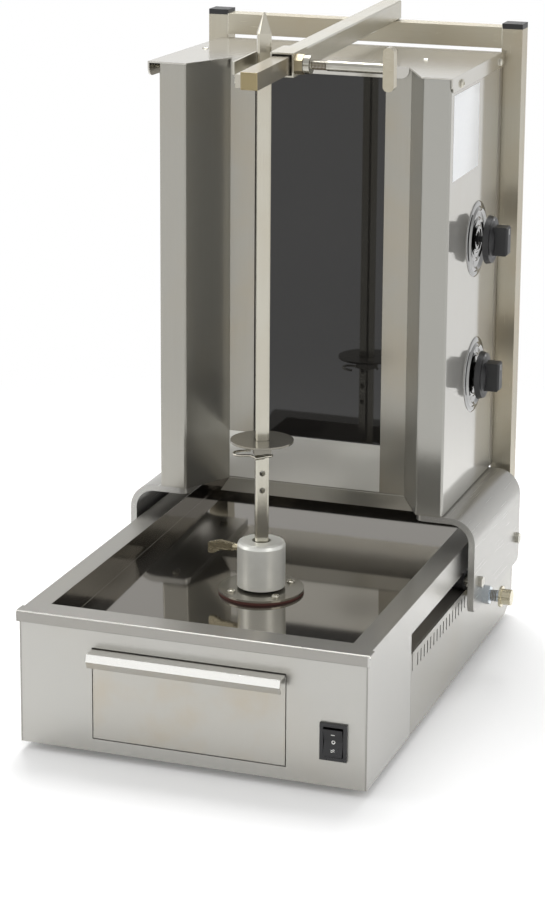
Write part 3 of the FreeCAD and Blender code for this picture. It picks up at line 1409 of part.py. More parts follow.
def make_knob(label, y, z, start):
    """Knob with a round skirt and a wide grip, bored for the regulator's shaft."""
    body = new_body(label)
    bore = "regulator_shaft + shaft_play"
    grip_start = f"({start} + knob_skirt_thick)"
    profile = [
        (start, bore),
        (start, "knob_skirt"),
        (grip_start, "knob_shoulder"),
        (grip_start, "knob_boss_wide"),
        (f"{grip_start} + knob_boss", "knob_boss_narrow"),
        (f"{grip_start} + knob_boss", bore),
    ]
    revolve(body, sketch(body, "XY", z, [profile], origin=("0", y)), "H_Axis")
    half, tall = "knob_grip_wide / 2", "knob_grip_tall / 2"
    grip = rectangle(f"-{half}", f"-{tall}", half, tall)
    pad(body, sketch(body, "YZ", grip_start, [grip], origin=(y, z)), "knob_long - knob_skirt_thick")
    doc.recompute()
    end = f"{start} + knob_long"
    rim = any_edge(straight_edge(Z_AXIS, x=end), straight_edge(Y_AXIS, x=end))
    dress(body, "Chamfer", "knob_bevel", rim)
    hole = sketch(body, "YZ", grip_start, [Circle("0", "0", bore)], origin=(y, z))
    pocket(body, hole, f"half_tower + shaft_reach + knob_bore_end - {grip_start}")
    finish(body, label)


# Carriage


def make_brackets():
    """Thick plates bent from under the tower down beside the base, left and right."""
    for label, sign in (("bracket_left", "-1"), ("bracket_right", "1")):
        body = new_body(label)
        corners = [
            ("bracket_inside", "carriage_top"),
            ("bracket_out", "carriage_top"),
            ("bracket_out", "bracket_z"),
            ("bracket_wall", "bracket_z"),
            ("bracket_wall", "carriage_top - bracket_thick"),
            ("bracket_inside", "carriage_top - bracket_thick"),
        ]
        section = [(f"{sign} * ({x})", z) for x, z in corners]
        pad(body, sketch(body, "XZ", "bracket_front", [section]), "bracket_back - bracket_front")
        outer = straight_edge(Y_AXIS, x=f"{sign} * bracket_out", z="carriage_top")
        dress(body, "Fillet", "bracket_bend", outer)
        inner = straight_edge(Y_AXIS, x=f"{sign} * bracket_wall", z="carriage_top - bracket_thick")
        dress(body, "Fillet", "bracket_bend - bracket_thick", inner)
        corners = any_edge(
            straight_edge(Z_AXIS, x=f"{sign} * bracket_inside", y="bracket_front"),
            straight_edge(X_AXIS, z="bracket_z"),
        )
        dress(body, "Fillet", "bracket_round", corners)
        flange = [
            Circle(x, y, "tower_bolt + screw_fit")
            for x, y in tower_bolt_places()
            if x.startswith(f"{sign} ")
        ]
        pocket(body, sketch(body, "XY", "carriage_top", [*flange]), "bracket_thick", to_low=True)
        side = [Circle(y, "guide_z", "guide_radius + screw_fit") for y in ("guide_front", "guide_back")]
        if sign == "1":
            side.append(Circle("plunger_y", "plunger_z", "plunger_barrel + screw_fit"))
        wall = "bracket_wall" if sign == "1" else "-bracket_out"
        pocket(body, sketch(body, "YZ", wall, [*side]), "bracket_thick")
        finish(body, label)


def make_tower_bolts():
    """Bolts up through the brackets' flanges into the tower's floor."""
    bolts = []
    for index, (x, y) in enumerate(tower_bolt_places()):
        name = f"tower_bolt_{index}"
        head_low = "carriage_top - bracket_thick - screw_head_tall"
        head = cylinder(f"{name}_head", "screw_head", "screw_head_tall", (x, y, head_low))
        seat = (x, y, "carriage_top - bracket_thick")
        shank = cylinder(f"{name}_shank", "tower_bolt", "sheet_wall + bracket_thick + tower_bolt", seat)
        bolts.append(joined(name, [head, shank]))
    finish(group("tower_bolts", bolts), "tower_bolts")


def make_guides():
    """Bolts through the brackets with the bushes that slide in the base's guide slots."""
    bolts, bushes = [], []
    for side, axis in ((1, X_AXIS), (-1, -X_AXIS)):
        for place in ("guide_front", "guide_back"):
            name = f"{place}_{'right' if side > 0 else 'left'}"
            start = (f"{side} * guide_end", place, "guide_z")
            shank = cylinder(f"{name}_shank", "guide_radius", "bracket_out - guide_end", start, axis)
            face = (f"{side} * bracket_out", place, "guide_z")
            head = hexagon(f"{name}_head", "guide_head", "guide_head_tall", face, axis)
            inside = (f"{side} * (half_base + seam_gap)", place, "guide_z")
            length = "bracket_wall - half_base - seam_gap"
            collar = cylinder(f"{name}_collar", "guide_collar", length, inside, axis)
            bolts.append(joined(f"{name}_bolt", [shank, head, collar]))
            length = "rail_width - 2 * seam_gap"
            solid = cylinder(f"{name}_bush_bar", "guide_bush", length, start, axis)
            hole = cylinder(f"{name}_bush_hole", "guide_radius + guide_fit", length, start, axis)
            bushes.append(without(f"{name}_bush", solid, hole))
    finish(group("guide_bolts", bolts), "guide_bolts")
    finish(group("guide_bushes", bushes), "guide_bushes")


def make_plunger():
    """Index plunger: a threaded barrel with its lock nut, and the pin that drops into a slit."""
    place = ("bracket_wall", "plunger_y", "plunger_z")
    barrel = cylinder("plunger_thread", "plunger_barrel", "bracket_thick + plunger_barrel_out", place, X_AXIS)
    nut_place = ("bracket_out", "plunger_y", "plunger_z")
    nut = hexagon("plunger_lock_nut", "plunger_nut", "plunger_nut_tall", nut_place, X_AXIS)
    bore = cylinder(
        "plunger_bore", "plunger_radius + plunger_fit", "bracket_thick + plunger_barrel_out", place, X_AXIS
    )
    finish(without("plunger_body", joined("plunger_solid", [barrel, nut]), bore), "plunger_body")
    start = ("plunger_tip", "plunger_y", "plunger_z")
    rod = cylinder("plunger_rod", "plunger_radius", "plunger_hollow - plunger_tip", start, X_AXIS)
    flats = []
    for name, low, high in (
        ("low", "-2 * plunger_radius", "-plunger_blade / 2"),
        ("high", "plunger_blade / 2", "2 * plunger_radius"),
    ):
        flats.append(
            block(
                f"plunger_flat_{name}",
                ("plunger_tip", f"plunger_y + {low}", "plunger_z - 2 * plunger_radius"),
                ("plunger_tip + plunger_stroke", f"plunger_y + {high}", "plunger_z + 2 * plunger_radius"),
            )
        )
    bladed = without("plunger_blade_rod", rod, joined("plunger_flats", flats))
    rim = ("plunger_start", "plunger_y", "plunger_z")
    collar = cylinder("plunger_grip_collar", "plunger_knob", "plunger_collar", rim, X_AXIS)
    cap = cylinder("plunger_grip_cap", "plunger_cap", "plunger_knob_long", rim, X_AXIS)
    radius, depth = "plunger_barrel + plunger_sleeve_fit", "plunger_hollow - plunger_start"
    hollow = cylinder("plunger_hollow_tool", radius, depth, rim, X_AXIS)
    knob = without("plunger_grip", joined("plunger_grip_bar", [collar, cap]), hollow)
    finish(joined("plunger_pin", [bladed, knob]), "plunger_pin")


# Posts and skewer holder


def make_posts():
    """Square tubes behind the tower with caps, and the crossbars between them."""
    for label, left in (("post_left", "-post_out"), ("post_right", "post_in")):
        body = new_body(label)
        loops = tube_loops(left, "post_front")
        pad(body, sketch(body, "XY", "post_z", loops), "post_end - post_z")
        finish(body, label)
    caps = []
    for name, left in (("left", "-post_out"), ("right", "post_in")):
        low = (left, "post_front", "post_end")
        high = (f"{left} + tube_side", "post_back", "post_end + cap_tall")
        top = block(f"cap_{name}_top", low, high)
        inset = "(tube_wall + cap_fit)"
        stem = block(
            f"cap_{name}_stem",
            (f"{left} + {inset}", f"post_front + {inset}", "post_end - cap_stem"),
            (f"{left} + tube_side - {inset}", f"post_back - {inset}", "post_end"),
        )
        caps.append(joined(f"cap_{name}", [top, stem]))
    finish(group("post_caps", caps), "post_caps")
    for label, top in (("crossbar", "crossbar_z"), ("lower_crossbar", "foot_tall + lower_bar_top")):
        body = new_body(label)
        loops = tube_loops("post_front", f"{top} - tube_side")
        pad(body, sketch(body, "YZ", "-post_in", loops), "2 * post_in")
        finish(body, label)
    spacers = []
    for sign in (-1, 1):
        start = (
            f"{sign} * spacer_place",
            "tower_back + sheet_wall",
            "foot_tall + lower_bar_top - tube_side / 2",
        )
        length = "post_front - tower_back - sheet_wall"
        spacers.append(cylinder(f"spacer_{sign + 1}", "spacer_radius", length, start, Y_AXIS))
    finish(group("crossbar_spacers", spacers), "crossbar_spacers")


def tube_loops(left, low):
    """Outer and inner square of the frame's tube."""
    return [
        rectangle(left, low, f"{left} + tube_side", f"{low} + tube_side"),
        rectangle(
            f"{left} + tube_wall",
            f"{low} + tube_wall",
            f"{left} + tube_side - tube_wall",
            f"{low} + tube_side - tube_wall",
        ),
    ]


def make_arm():
    """Telescopic arm over the skewer: outer tube, inner bar and the nut of its clamp."""
    body = new_body("arm_outer")
    tube_start = "arm_start + arm_sleeve_ahead"

    def square(wall):
        """Square of the tube's outside, reduced by a wall."""
        return rectangle(
            f"arm_left + ({wall})", wall, f"arm_left + arm_side - ({wall})", f"arm_side - ({wall})"
        )

    pad(body, sketch(body, "XZ", tube_start, [square("0")]), f"tube_side - ({tube_start})")
    dress(body, "Fillet", "arm_round", straight_edge(Y_AXIS))
    pad(body, sketch(body, "XZ", "arm_start", [square("-arm_sleeve_wall")]), "arm_sleeve_long")
    pocket(body, sketch(body, "XZ", "arm_start", [square("0")]), "arm_sleeve_ahead")
    pocket(body, sketch(body, "XZ", tube_start, [square("arm_wall")]), f"tube_side - ({tube_start})")
    hole = sketch(body, "YZ", "arm_middle", [Circle("clamp_y", "arm_side / 2", "clamp_radius + arm_play")])
    pocket(body, hole, "arm_side / 2 + arm_sleeve_wall")
    finish_on_arm(body, "arm_outer")
    body = new_body("arm_inner")
    low = "arm_wall + arm_play"
    bar = rectangle("arm_bar_left", low, "arm_bar_left + arm_bar", f"{low} + arm_bar")
    pad(body, sketch(body, "XZ", "bar_start", [bar]), "bar_long")
    rim = any_edge(straight_edge(X_AXIS, y="bar_start"), straight_edge(Z_AXIS, y="bar_start"))
    dress(body, "Chamfer", "bar_bevel", rim)
    pilot = Circle(
        "bar_start + hook_pad_back + hook_pad / 2", "hook_low + hook_tall / 2", "hook_screw + clamp_fit"
    )
    pocket(body, sketch(body, "YZ", "arm_bar_left", [pilot]), "pilot_deep")
    finish_on_arm(body, "arm_inner")


def make_hook():
    """Strap from the inner bar's end, bent round behind the skewer to hold it upright."""
    body = new_body("spit_hook")
    behind = "spit_place + hook_behind"
    plan = [
        ("-hook_left - hook_wall", "spit_place - hook_free"),
        ("-hook_left", "spit_place - hook_free"),
        ("-hook_left", behind),
        ("strap_left", behind),
        ("strap_left", "bar_start + hook_pad_back"),
        ("strap_right", "bar_start + hook_pad_back"),
        ("strap_right", f"{behind} + hook_wall"),
        ("-hook_left - hook_wall", f"{behind} + hook_wall"),
    ]
    pad(body, sketch(body, "XY", "hook_low", [plan]), "hook_tall")
    corners = any_edge(
        straight_edge(Z_AXIS, x="strap_right", y=f"{behind} + hook_wall"),
        straight_edge(Z_AXIS, x="-hook_left - hook_wall", y=f"{behind} + hook_wall"),
    )
    dress(body, "Fillet", "hook_bend", corners)
    block_end = "bar_start + hook_pad_back + hook_pad"
    fixing = rectangle("bar_start + hook_pad_back", "hook_low", block_end, "hook_low + hook_tall")
    pad(body, sketch(body, "YZ", "strap_right", [fixing]), "arm_bar_left - strap_right")
    centre = ("bar_start + hook_pad_back + hook_pad / 2", "hook_low + hook_tall / 2")
    hole = Circle(centre[0], centre[1], "hook_screw + clamp_fit")
    pocket(body, sketch(body, "YZ", "strap_left", [hole]), "arm_bar_left - strap_left")
    finish_on_arm(body, "spit_hook")
    tip = ("arm_bar_left + arm_bar / 2", *centre)
    length = "arm_bar_left + arm_bar / 2 - strap_left"
    shank = cylinder("hook_screw_shank", "hook_screw", length, tip, -X_AXIS)
    face = ("strap_left", *centre)
    head = cylinder("hook_screw_head", "2 * hook_screw", "hook_screw", face, -X_AXIS)
    finish_on_arm(joined("hook_screw_part", [shank, head]), "hook_screw")


def make_clamp():
    """Clamping screw of the arm: its welded nut, the screw with a sleeve, and the crosswise handle."""
    middle = ("clamp_y", "arm_side / 2")
    face = ("nut_face", *middle)
    nut = hexagon("clamp_nut_bar", "clamp_nut_radius", "clamp_nut_tall", face, X_AXIS)
    bore = cylinder("clamp_nut_bore", "clamp_radius + clamp_fit", "clamp_nut_tall", face, X_AXIS)
    finish_on_arm(without("clamp_nut_part", nut, bore), "clamp_nut")
    body = new_body("clamp_screw")
    ring_end = "clamp_face + clamp_ring_thick"
    sleeve_start = f"{ring_end} + clamp_thread"
    profile = [
        ("clamp_tip", "0"),
        ("clamp_tip", "clamp_radius"),
        ("clamp_face", "clamp_radius"),
        ("clamp_face", "clamp_ring"),
        (ring_end, "clamp_ring"),
        (ring_end, "clamp_radius"),
        (sleeve_start, "clamp_radius"),
        (sleeve_start, "clamp_sleeve"),
        ("clamp_end", "clamp_sleeve"),
        ("clamp_end", "0"),
    ]
    revolve(body, sketch(body, "XY", middle[1], [profile], origin=("0", "clamp_y")), "H_Axis")
    finish_on_arm(body, "clamp_screw")
    body = new_body("clamp_handle")
    tall = "clamp_bar_tall / 2"
    bar = rectangle("clamp_end", f"-{tall}", "clamp_end + clamp_bar", tall)
    drawing = sketch(body, "XZ", "clamp_y - clamp_bar_thick / 2", [bar], origin=("0", middle[1]))
    pad(body, drawing, "clamp_bar_thick")
    dress(body, "Fillet", "clamp_bar_round", straight_edge(Y_AXIS))
    finish_on_arm(body, "clamp_handle")


def check_document():
    """Stop if any object failed to build or any piece isn't a valid closed shape."""
    doc.recompute()
    failed = [item.Name for item in doc.Objects if {"Invalid", "Error"} & set(item.State)]
    for item in nodes:
        shape = item.Shape
        if shape.isNull() or not shape.isValid() or not shape.Solids:
            failed.append(item.Label)
    if failed:
        raise ValueError(f"failed: {', '.join(failed)}")


def export_nodes():
    """Write each piece to its own file."""
    os.makedirs("parts", exist_ok=True)
    for item in nodes:
        item.Shape.exportStep(f"parts/{item.Label}.step")


fill_sheet()
make_top_shell()
make_front_panel()
make_rear_housing()
make_guide_channels()
make_bottom()
make_drawer_runners()
make_cable_gland()
make_motor()
make_flange()
make_hub()
make_hub_lever()
make_spit()
make_meat_disc()
make_disc_pin()
make_drawer()
make_switch()
make_tower_floor()
make_side_shells()
make_window()
make_back_panel()
make_lid()
make_controls()
make_brackets()
make_tower_bolts()
make_guides()
make_plunger()
make_posts()
make_arm()
make_hook()
make_clamp()
check_document()
export_nodes()
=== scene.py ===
import logging
import math
from dataclasses import dataclass, field
from enum import Enum

import bmesh
import bpy
from mathutils import Matrix, Vector
from mathutils.bvhtree import BVHTree


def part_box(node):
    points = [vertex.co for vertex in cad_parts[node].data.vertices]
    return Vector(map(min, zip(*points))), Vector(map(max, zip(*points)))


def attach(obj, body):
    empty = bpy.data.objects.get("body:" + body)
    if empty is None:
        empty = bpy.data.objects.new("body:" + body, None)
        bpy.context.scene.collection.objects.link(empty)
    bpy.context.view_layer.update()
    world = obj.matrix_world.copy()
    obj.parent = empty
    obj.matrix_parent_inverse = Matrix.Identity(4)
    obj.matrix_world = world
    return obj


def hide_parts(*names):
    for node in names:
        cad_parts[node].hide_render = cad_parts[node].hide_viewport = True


logging.basicConfig(level=logging.INFO, format="%(message)s")
log = logging.getLogger("skewer_grill")

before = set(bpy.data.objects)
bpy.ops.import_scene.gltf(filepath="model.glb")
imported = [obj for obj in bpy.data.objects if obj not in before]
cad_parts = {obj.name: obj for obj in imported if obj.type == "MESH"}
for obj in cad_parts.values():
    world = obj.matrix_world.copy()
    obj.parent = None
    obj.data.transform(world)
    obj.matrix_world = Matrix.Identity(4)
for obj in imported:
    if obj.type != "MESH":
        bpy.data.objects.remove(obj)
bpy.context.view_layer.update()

MM = 0.001
MERGE = 1e-6  # Points nearer than this, in metres, become one.
SMOOTH_UNDER = math.radians(35)  # Edges that turn less than this are shaded smooth.
DROP = 0.2  # How far a flat mark may fall on the face under it, in metres.
MARK_CLEAR = 5.0  # A mark is drawn this far in front of its face before it drops, in millimetres.
SHANK_RADIUS = 1.6  # Of the small screws, in millimetres.
BEVEL = {"affect": "EDGES", "profile": 0.5, "material": -1}
COLOURS = {"data_type": "RGBA"}
VALUES = {"data_type": "FLOAT"}
WHITE = (1.0, 1.0, 1.0, 1.0)
UP = Vector((0, 0, 1))
SIDEWAYS = Vector((1, 0, 0))
INWARDS = Vector((0, 1, 0))


# Helpers


def linear(colour: str) -> tuple[float, float, float, float]:
    """Turn an sRGB colour into the linear values that sockets hold.

    Args:
        colour: hex digits, such as "#C0BFB8".

    Returns:
        Red, green, blue and an alpha of 1.
    """
    parts = [int(colour[at:at + 2], 16) / 255 for at in (1, 3, 5)]
    red, green, blue = (x / 12.92 if x <= 0.04045 else ((x + 0.055) / 1.055) ** 2.4 for x in parts)
    return red, green, blue, 1.0


def add_node(tree: bpy.types.NodeTree, kind: str, settings: dict | None = None,
             links: dict | None = None) -> bpy.types.Node:
    """Add a node with its settings and links.

    Args:
        tree: node tree that gets the node.
        kind: the node's type name.
        settings: values of properties, or of sockets by name or number.
        links: output sockets that feed this node's sockets, by name or number.

    Returns:
        The new node.
    """
    node = tree.nodes.new(kind)
    for name, value in (settings or {}).items():
        if isinstance(name, int) or name in node.inputs:
            node.inputs[name].default_value = value
        else:
            setattr(node, name, value)
    for name, source in (links or {}).items():
        tree.links.new(source, node.inputs[name])
    return node


def new_material(name: str) -> tuple[bpy.types.Material, bpy.types.NodeTree, bpy.types.NodeSocket]:
    """Start an empty node material.

    Args:
        name: the material's name.

    Returns:
        The material, its node tree and the socket that gives the place on the object.
    """
    material = bpy.data.materials.new(name)
    material.use_nodes = True
    tree = material.node_tree
    tree.nodes.clear()
    return material, tree, add_node(tree, "ShaderNodeTexCoord").outputs["Object"]


def new_object(name: str, data: bpy.types.ID) -> bpy.types.Object:
    """Make an object that holds some data and link it to the scene."""
    made = bpy.data.objects.new(name, data)
    bpy.context.scene.collection.objects.link(made)
    return made


def from_bmesh(name: str, mesh: bmesh.types.BMesh) -> bpy.types.Object:
    """Make a bmesh an object of the scene, and free it.

    Args:
        name: the object's name.
        mesh: its shape.

    Returns:
        The object.
    """
    data = bpy.data.meshes.new(name)
    mesh.to_mesh(data)
    mesh.free()
    return new_object(name, data)


def paint(piece: bpy.types.Object, material: bpy.types.Material) -> None:
    """Give every slot of a piece one material.

    Args:
        piece: the piece, with or without slots.
        material: its finish.
    """
    if not piece.material_slots:
        piece.data.materials.append(material)
    for slot in piece.material_slots:
        slot.material = material


def dress(material: bpy.types.Material, *nodes: str) -> None:
    """Give CAD nodes a finish.

    Args:
        material: the finish.
        nodes: names of the nodes.
    """
    for name in nodes:
        paint(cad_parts[name], material)


def keep(mesh: bmesh.types.BMesh, name: str, body: str, material: bpy.types.Material,
         smooth: bool = True, replaces: tuple[str, ...] = ()) -> bpy.types.Object:
    """Make a finished bmesh a piece that rides on a body.

    Args:
        mesh: the shape, in metres, in its place.
        name: the piece's name.
        body: the body it moves with.
        material: its finish.
        smooth: shade smooth across blunt edges.
        replaces: CAD nodes that it stands for.

    Returns:
        The piece.
    """
    bmesh.ops.remove_doubles(mesh, verts=mesh.verts, dist=MERGE)
    bmesh.ops.recalc_face_normals(mesh, faces=mesh.faces)
    if smooth:
        for face in mesh.faces:
            face.smooth = True
        for edge in mesh.edges:
            if len(edge.link_faces) == 2 and edge.calc_face_angle() > SMOOTH_UNDER:
                edge.smooth = False
    piece = from_bmesh(name, mesh)
    paint(piece, material)
    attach(piece, body)
    if replaces:
        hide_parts(*replaces)
    log.info("piece %s, %d faces, on %s", name, len(piece.data.polygons), body)
    return piece


def box_mm(node: str) -> tuple[Vector, Vector]:
    """Lowest and highest corner of a CAD node, in millimetres."""
    low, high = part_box(node)
    return low / MM, high / MM


def middle_mm(node: str) -> Vector:
    """Middle of a CAD node's box, in millimetres."""
    low, high = box_mm(node)
    return (low + high) / 2


def loose_parts(node: str) -> list[tuple[Vector, Vector]]:
    """Find the boxes of a CAD node's separate solids.

    Args:
        node: the node.

    Returns:
        Lowest and highest corner of each solid, in millimetres.
    """
    mesh = bmesh.new()
    mesh.from_mesh(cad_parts[node].data)
    bmesh.ops.remove_doubles(mesh, verts=mesh.verts, dist=MERGE)
    seen: set[bmesh.types.BMVert] = set()
    boxes = []
    for start in mesh.verts:
        if start in seen:
            continue
        seen.add(start)
        front, part = [start], []
        while front:
            vert = front.pop()
            part.append(vert.co.copy())
            for edge in vert.link_edges:
                other = edge.other_vert(vert)
                if other not in seen:
                    seen.add(other)
                    front.append(other)
        boxes.append((Vector([min(p[i] for p in part) for i in range(3)]) / MM,
                      Vector([max(p[i] for p in part) for i in range(3)]) / MM))
    mesh.free()
    return boxes


def ring_points(mesh: bmesh.types.BMesh, radius: float, place: Vector, axis: Vector,
                segments: int) -> list[bmesh.types.BMVert]:
    """Add a circle square to an axis.

    Args:
        mesh: the bmesh that gets it.
        radius: in millimetres.
        place: centre, in millimetres.
        axis: direction that the circle faces.
        segments: points of the circle.

    Returns:
        The circle's vertices.
    """
    turn = Vector(axis).to_track_quat("Z", "Y").to_matrix().to_4x4()
    matrix = Matrix.Translation(Vector(place) * MM) @ turn
    return bmesh.ops.create_circle(mesh, segments=segments, radius=radius * MM, matrix=matrix)["verts"]


def turned(mesh: bmesh.types.BMesh, profile: list[tuple[float, float]], place: Vector, axis: Vector,
           segments: int = 48, closed: bool = False) -> None:
    """Turn a profile about an axis, as a lathe would.

    Args:
        mesh: the bmesh that gets the surface.
        profile: pairs of height along the axis and radius, in millimetres.
        place: the axis' foot, in millimetres.
        axis: direction of the axis.
        segments: steps round the axis.
        closed: join the profile's end to its start.
    """
    turn = Vector(axis).to_track_quat("Z", "Y").to_matrix()
    foot = Vector(place) * MM
    points = [mesh.verts.new(foot + turn @ Vector((radius * MM, 0.0, height * MM)))
              for height, radius in profile]
    pairs = list(zip(points, points[1:])) + ([(points[-1], points[0])] if closed else [])
    edges = [mesh.edges.new(pair) for pair in pairs if pair[0] is not pair[1]]
    bmesh.ops.spin(mesh, geom=points + edges, cent=foot, axis=turn @ Vector((0.0, 0.0, 1.0)),
                   angle=2 * math.pi, steps=segments, use_merge=True)


def block(mesh: bmesh.types.BMesh, middle: Vector, size: Vector, turn: Matrix | None = None,
          round_mm: float = 0.0) -> None:
    """Add a block, with its edges rounded where a radius is given.

    Args:
        mesh: the bmesh that gets it.
        middle: centre, in millimetres.
        size: full sizes, in millimetres.
        turn: turn about the centre.
        round_mm: radius of the edges.
    """
    matrix = Matrix.Translation(Vector(middle) * MM) @ (turn or Matrix.Identity(4)) @ Matrix.Diagonal(
        (*(Vector(size) * MM), 1.0))
    made = bmesh.ops.create_cube(mesh, size=1.0, matrix=matrix)
    if round_mm:
        edges = list({edge for vert in made["verts"] for edge in vert.link_edges})
        bmesh.ops.bevel(mesh, geom=edges, offset=round_mm * MM, segments=3, **BEVEL)


def thread(mesh: bmesh.types.BMesh, radius: float, length: float, pitch: float, depth: float, place: Vector,
           axis: Vector, segments: int = 24) -> None:
    """Wind a screw thread's ridge round a rod.

    Args:
        mesh: the bmesh that gets it.
        radius: the rod's radius, in millimetres.
        length: along the rod, in millimetres.
        pitch: from turn to turn, in millimetres.
        depth: height of the ridge, in millimetres.
        place: where the thread starts, in millimetres.
        axis: direction of the rod.
        segments: steps in a turn.
    """
    turn = Vector(axis).to_track_quat("Z", "Y").to_matrix()
    foot = Vector(place) * MM
    root = radius - 0.1
    shape = ((0.05 * pitch, root), (0.5 * pitch, radius + depth), (0.95 * pitch, root))
    points = [mesh.verts.new(foot + turn @ Vector((reach * MM, 0.0, height * MM))) for height, reach in shape]
    edges = [mesh.edges.new(pair) for pair in zip(points, points[1:])]
    turns = max(int(length / pitch) - 1, 1)
    along = turn @ Vector((0.0, 0.0, pitch * MM / segments))
    bmesh.ops.spin(mesh, geom=points + edges, cent=foot, axis=turn @ Vector((0.0, 0.0, 1.0)), dvec=along,
                   angle=2 * math.pi * turns, steps=segments * turns)


def screw(mesh: bmesh.types.BMesh, radius: float, tall: float, place: Vector, axis: Vector,
          socket: float = 0.45, shank: float = 0.0) -> None:
    """Add a domed screw head with a round socket, and its shank where one shows.

    Args:
        mesh: the bmesh that gets it.
        radius: of the head, in millimetres.
        tall: height of the head, in millimetres.
        place: middle of its seat, in millimetres.
        axis: direction that the head faces.
        socket: the socket's radius as a share of the head's.
        shank: length of the shank, in millimetres, or 0 for none.
    """
    turned(mesh, [(0.0, 0.0), (0.0, radius), (tall * 0.45, radius), (tall * 0.8, radius * 0.82),
                  (tall, radius * 0.58), (tall, radius * socket), (tall * 0.4, radius * socket * 0.9),
                  (tall * 0.4, 0.0)], place, axis, 24)
    if shank:
        turned(mesh, [(0.0, 0.0), (0.0, SHANK_RADIUS), (-shank, SHANK_RADIUS), (-shank, 0.0)],
               place, axis, 16)


def lay_on(mesh: bmesh.types.BMesh, node: str, way: Vector, lift: float = 0.05) -> None:
    """Drop every point of a flat mark on a CAD node's face.

    Args:
        mesh: the mark, drawn in front of the face.
        node: the node under it.
        way: direction in which the mark drops.
        lift: height above the face, in millimetres.
    """
    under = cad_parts[node]
    tree = BVHTree.FromPolygons([vert.co for vert in under.data.vertices],
                                [tuple(face.vertices) for face in under.data.polygons])
    for vert in mesh.verts:
        hit = tree.ray_cast(vert.co, way, DROP)[0]
        if hit is not None:
            vert.co = hit - Vector(way) * lift * MM


# Finishes


# Most of a noise texture's values lie between these, so a range of gloss is spread over them.
NOISE_RANGE = {"From Min": 0.25, "From Max": 0.75}


class Grain(Enum):
    """Direction in which a sheet was rolled or brushed."""

    ALONG_X = (1.0, 0.03, 0.02)
    ALONG_Y = (0.03, 1.0, 0.02)
    ALONG_Z = (0.03, 0.02, 1.0)


@dataclass(frozen=True)
class Patch:
    """Part of a sheet with a finish of its own.

    It is what lies in a box, and where a direction is given, only the faces that look that way. Several
    patches paint light or shade: a paler colour for a highlight or a lit side, a darker one for a shaded
    face.
    """

    colour: str
    roughness: float
    middle_mm: tuple[float, float, float] = (0.0, 0.0, 0.0)
    half_mm: tuple[float, float, float] = (1000.0, 1000.0, 1000.0)
    facing: tuple[float, float, float] | None = None
    haze: float = 0.35
    least_lean: float = 0.3

    def share(self, tree: bpy.types.NodeTree, place: bpy.types.NodeSocket) -> bpy.types.NodeSocket:
        """Find where the patch lies.

        Args:
            tree: the material's nodes.
            place: position on the object.

        Returns:
            A socket that gives 1 in the patch and 0 elsewhere.
        """
        parts = add_node(tree, "ShaderNodeSeparateXYZ", None, {0: place})
        tests = [add_node(tree, "ShaderNodeMath", {"operation": "COMPARE", 1: middle * MM, 2: half * MM},
                          {0: parts.outputs[axis]}).outputs[0]
                 for axis, middle, half in zip("XYZ", self.middle_mm, self.half_mm)]
        if self.facing is not None:
            normal = add_node(tree, "ShaderNodeNewGeometry").outputs["Normal"]
            lean = add_node(tree, "ShaderNodeVectorMath", {"operation": "DOT_PRODUCT", 1: self.facing},
                            {0: normal}).outputs["Value"]
            tests.append(add_node(tree, "ShaderNodeMath", {"operation": "GREATER_THAN", 1: self.least_lean},
                                  {0: lean}).outputs[0])
        found = tests[0]
        for test in tests[1:]:
            found = add_node(tree, "ShaderNodeMath", {"operation": "MULTIPLY"},
                             {0: found, 1: test}).outputs[0]
        return found


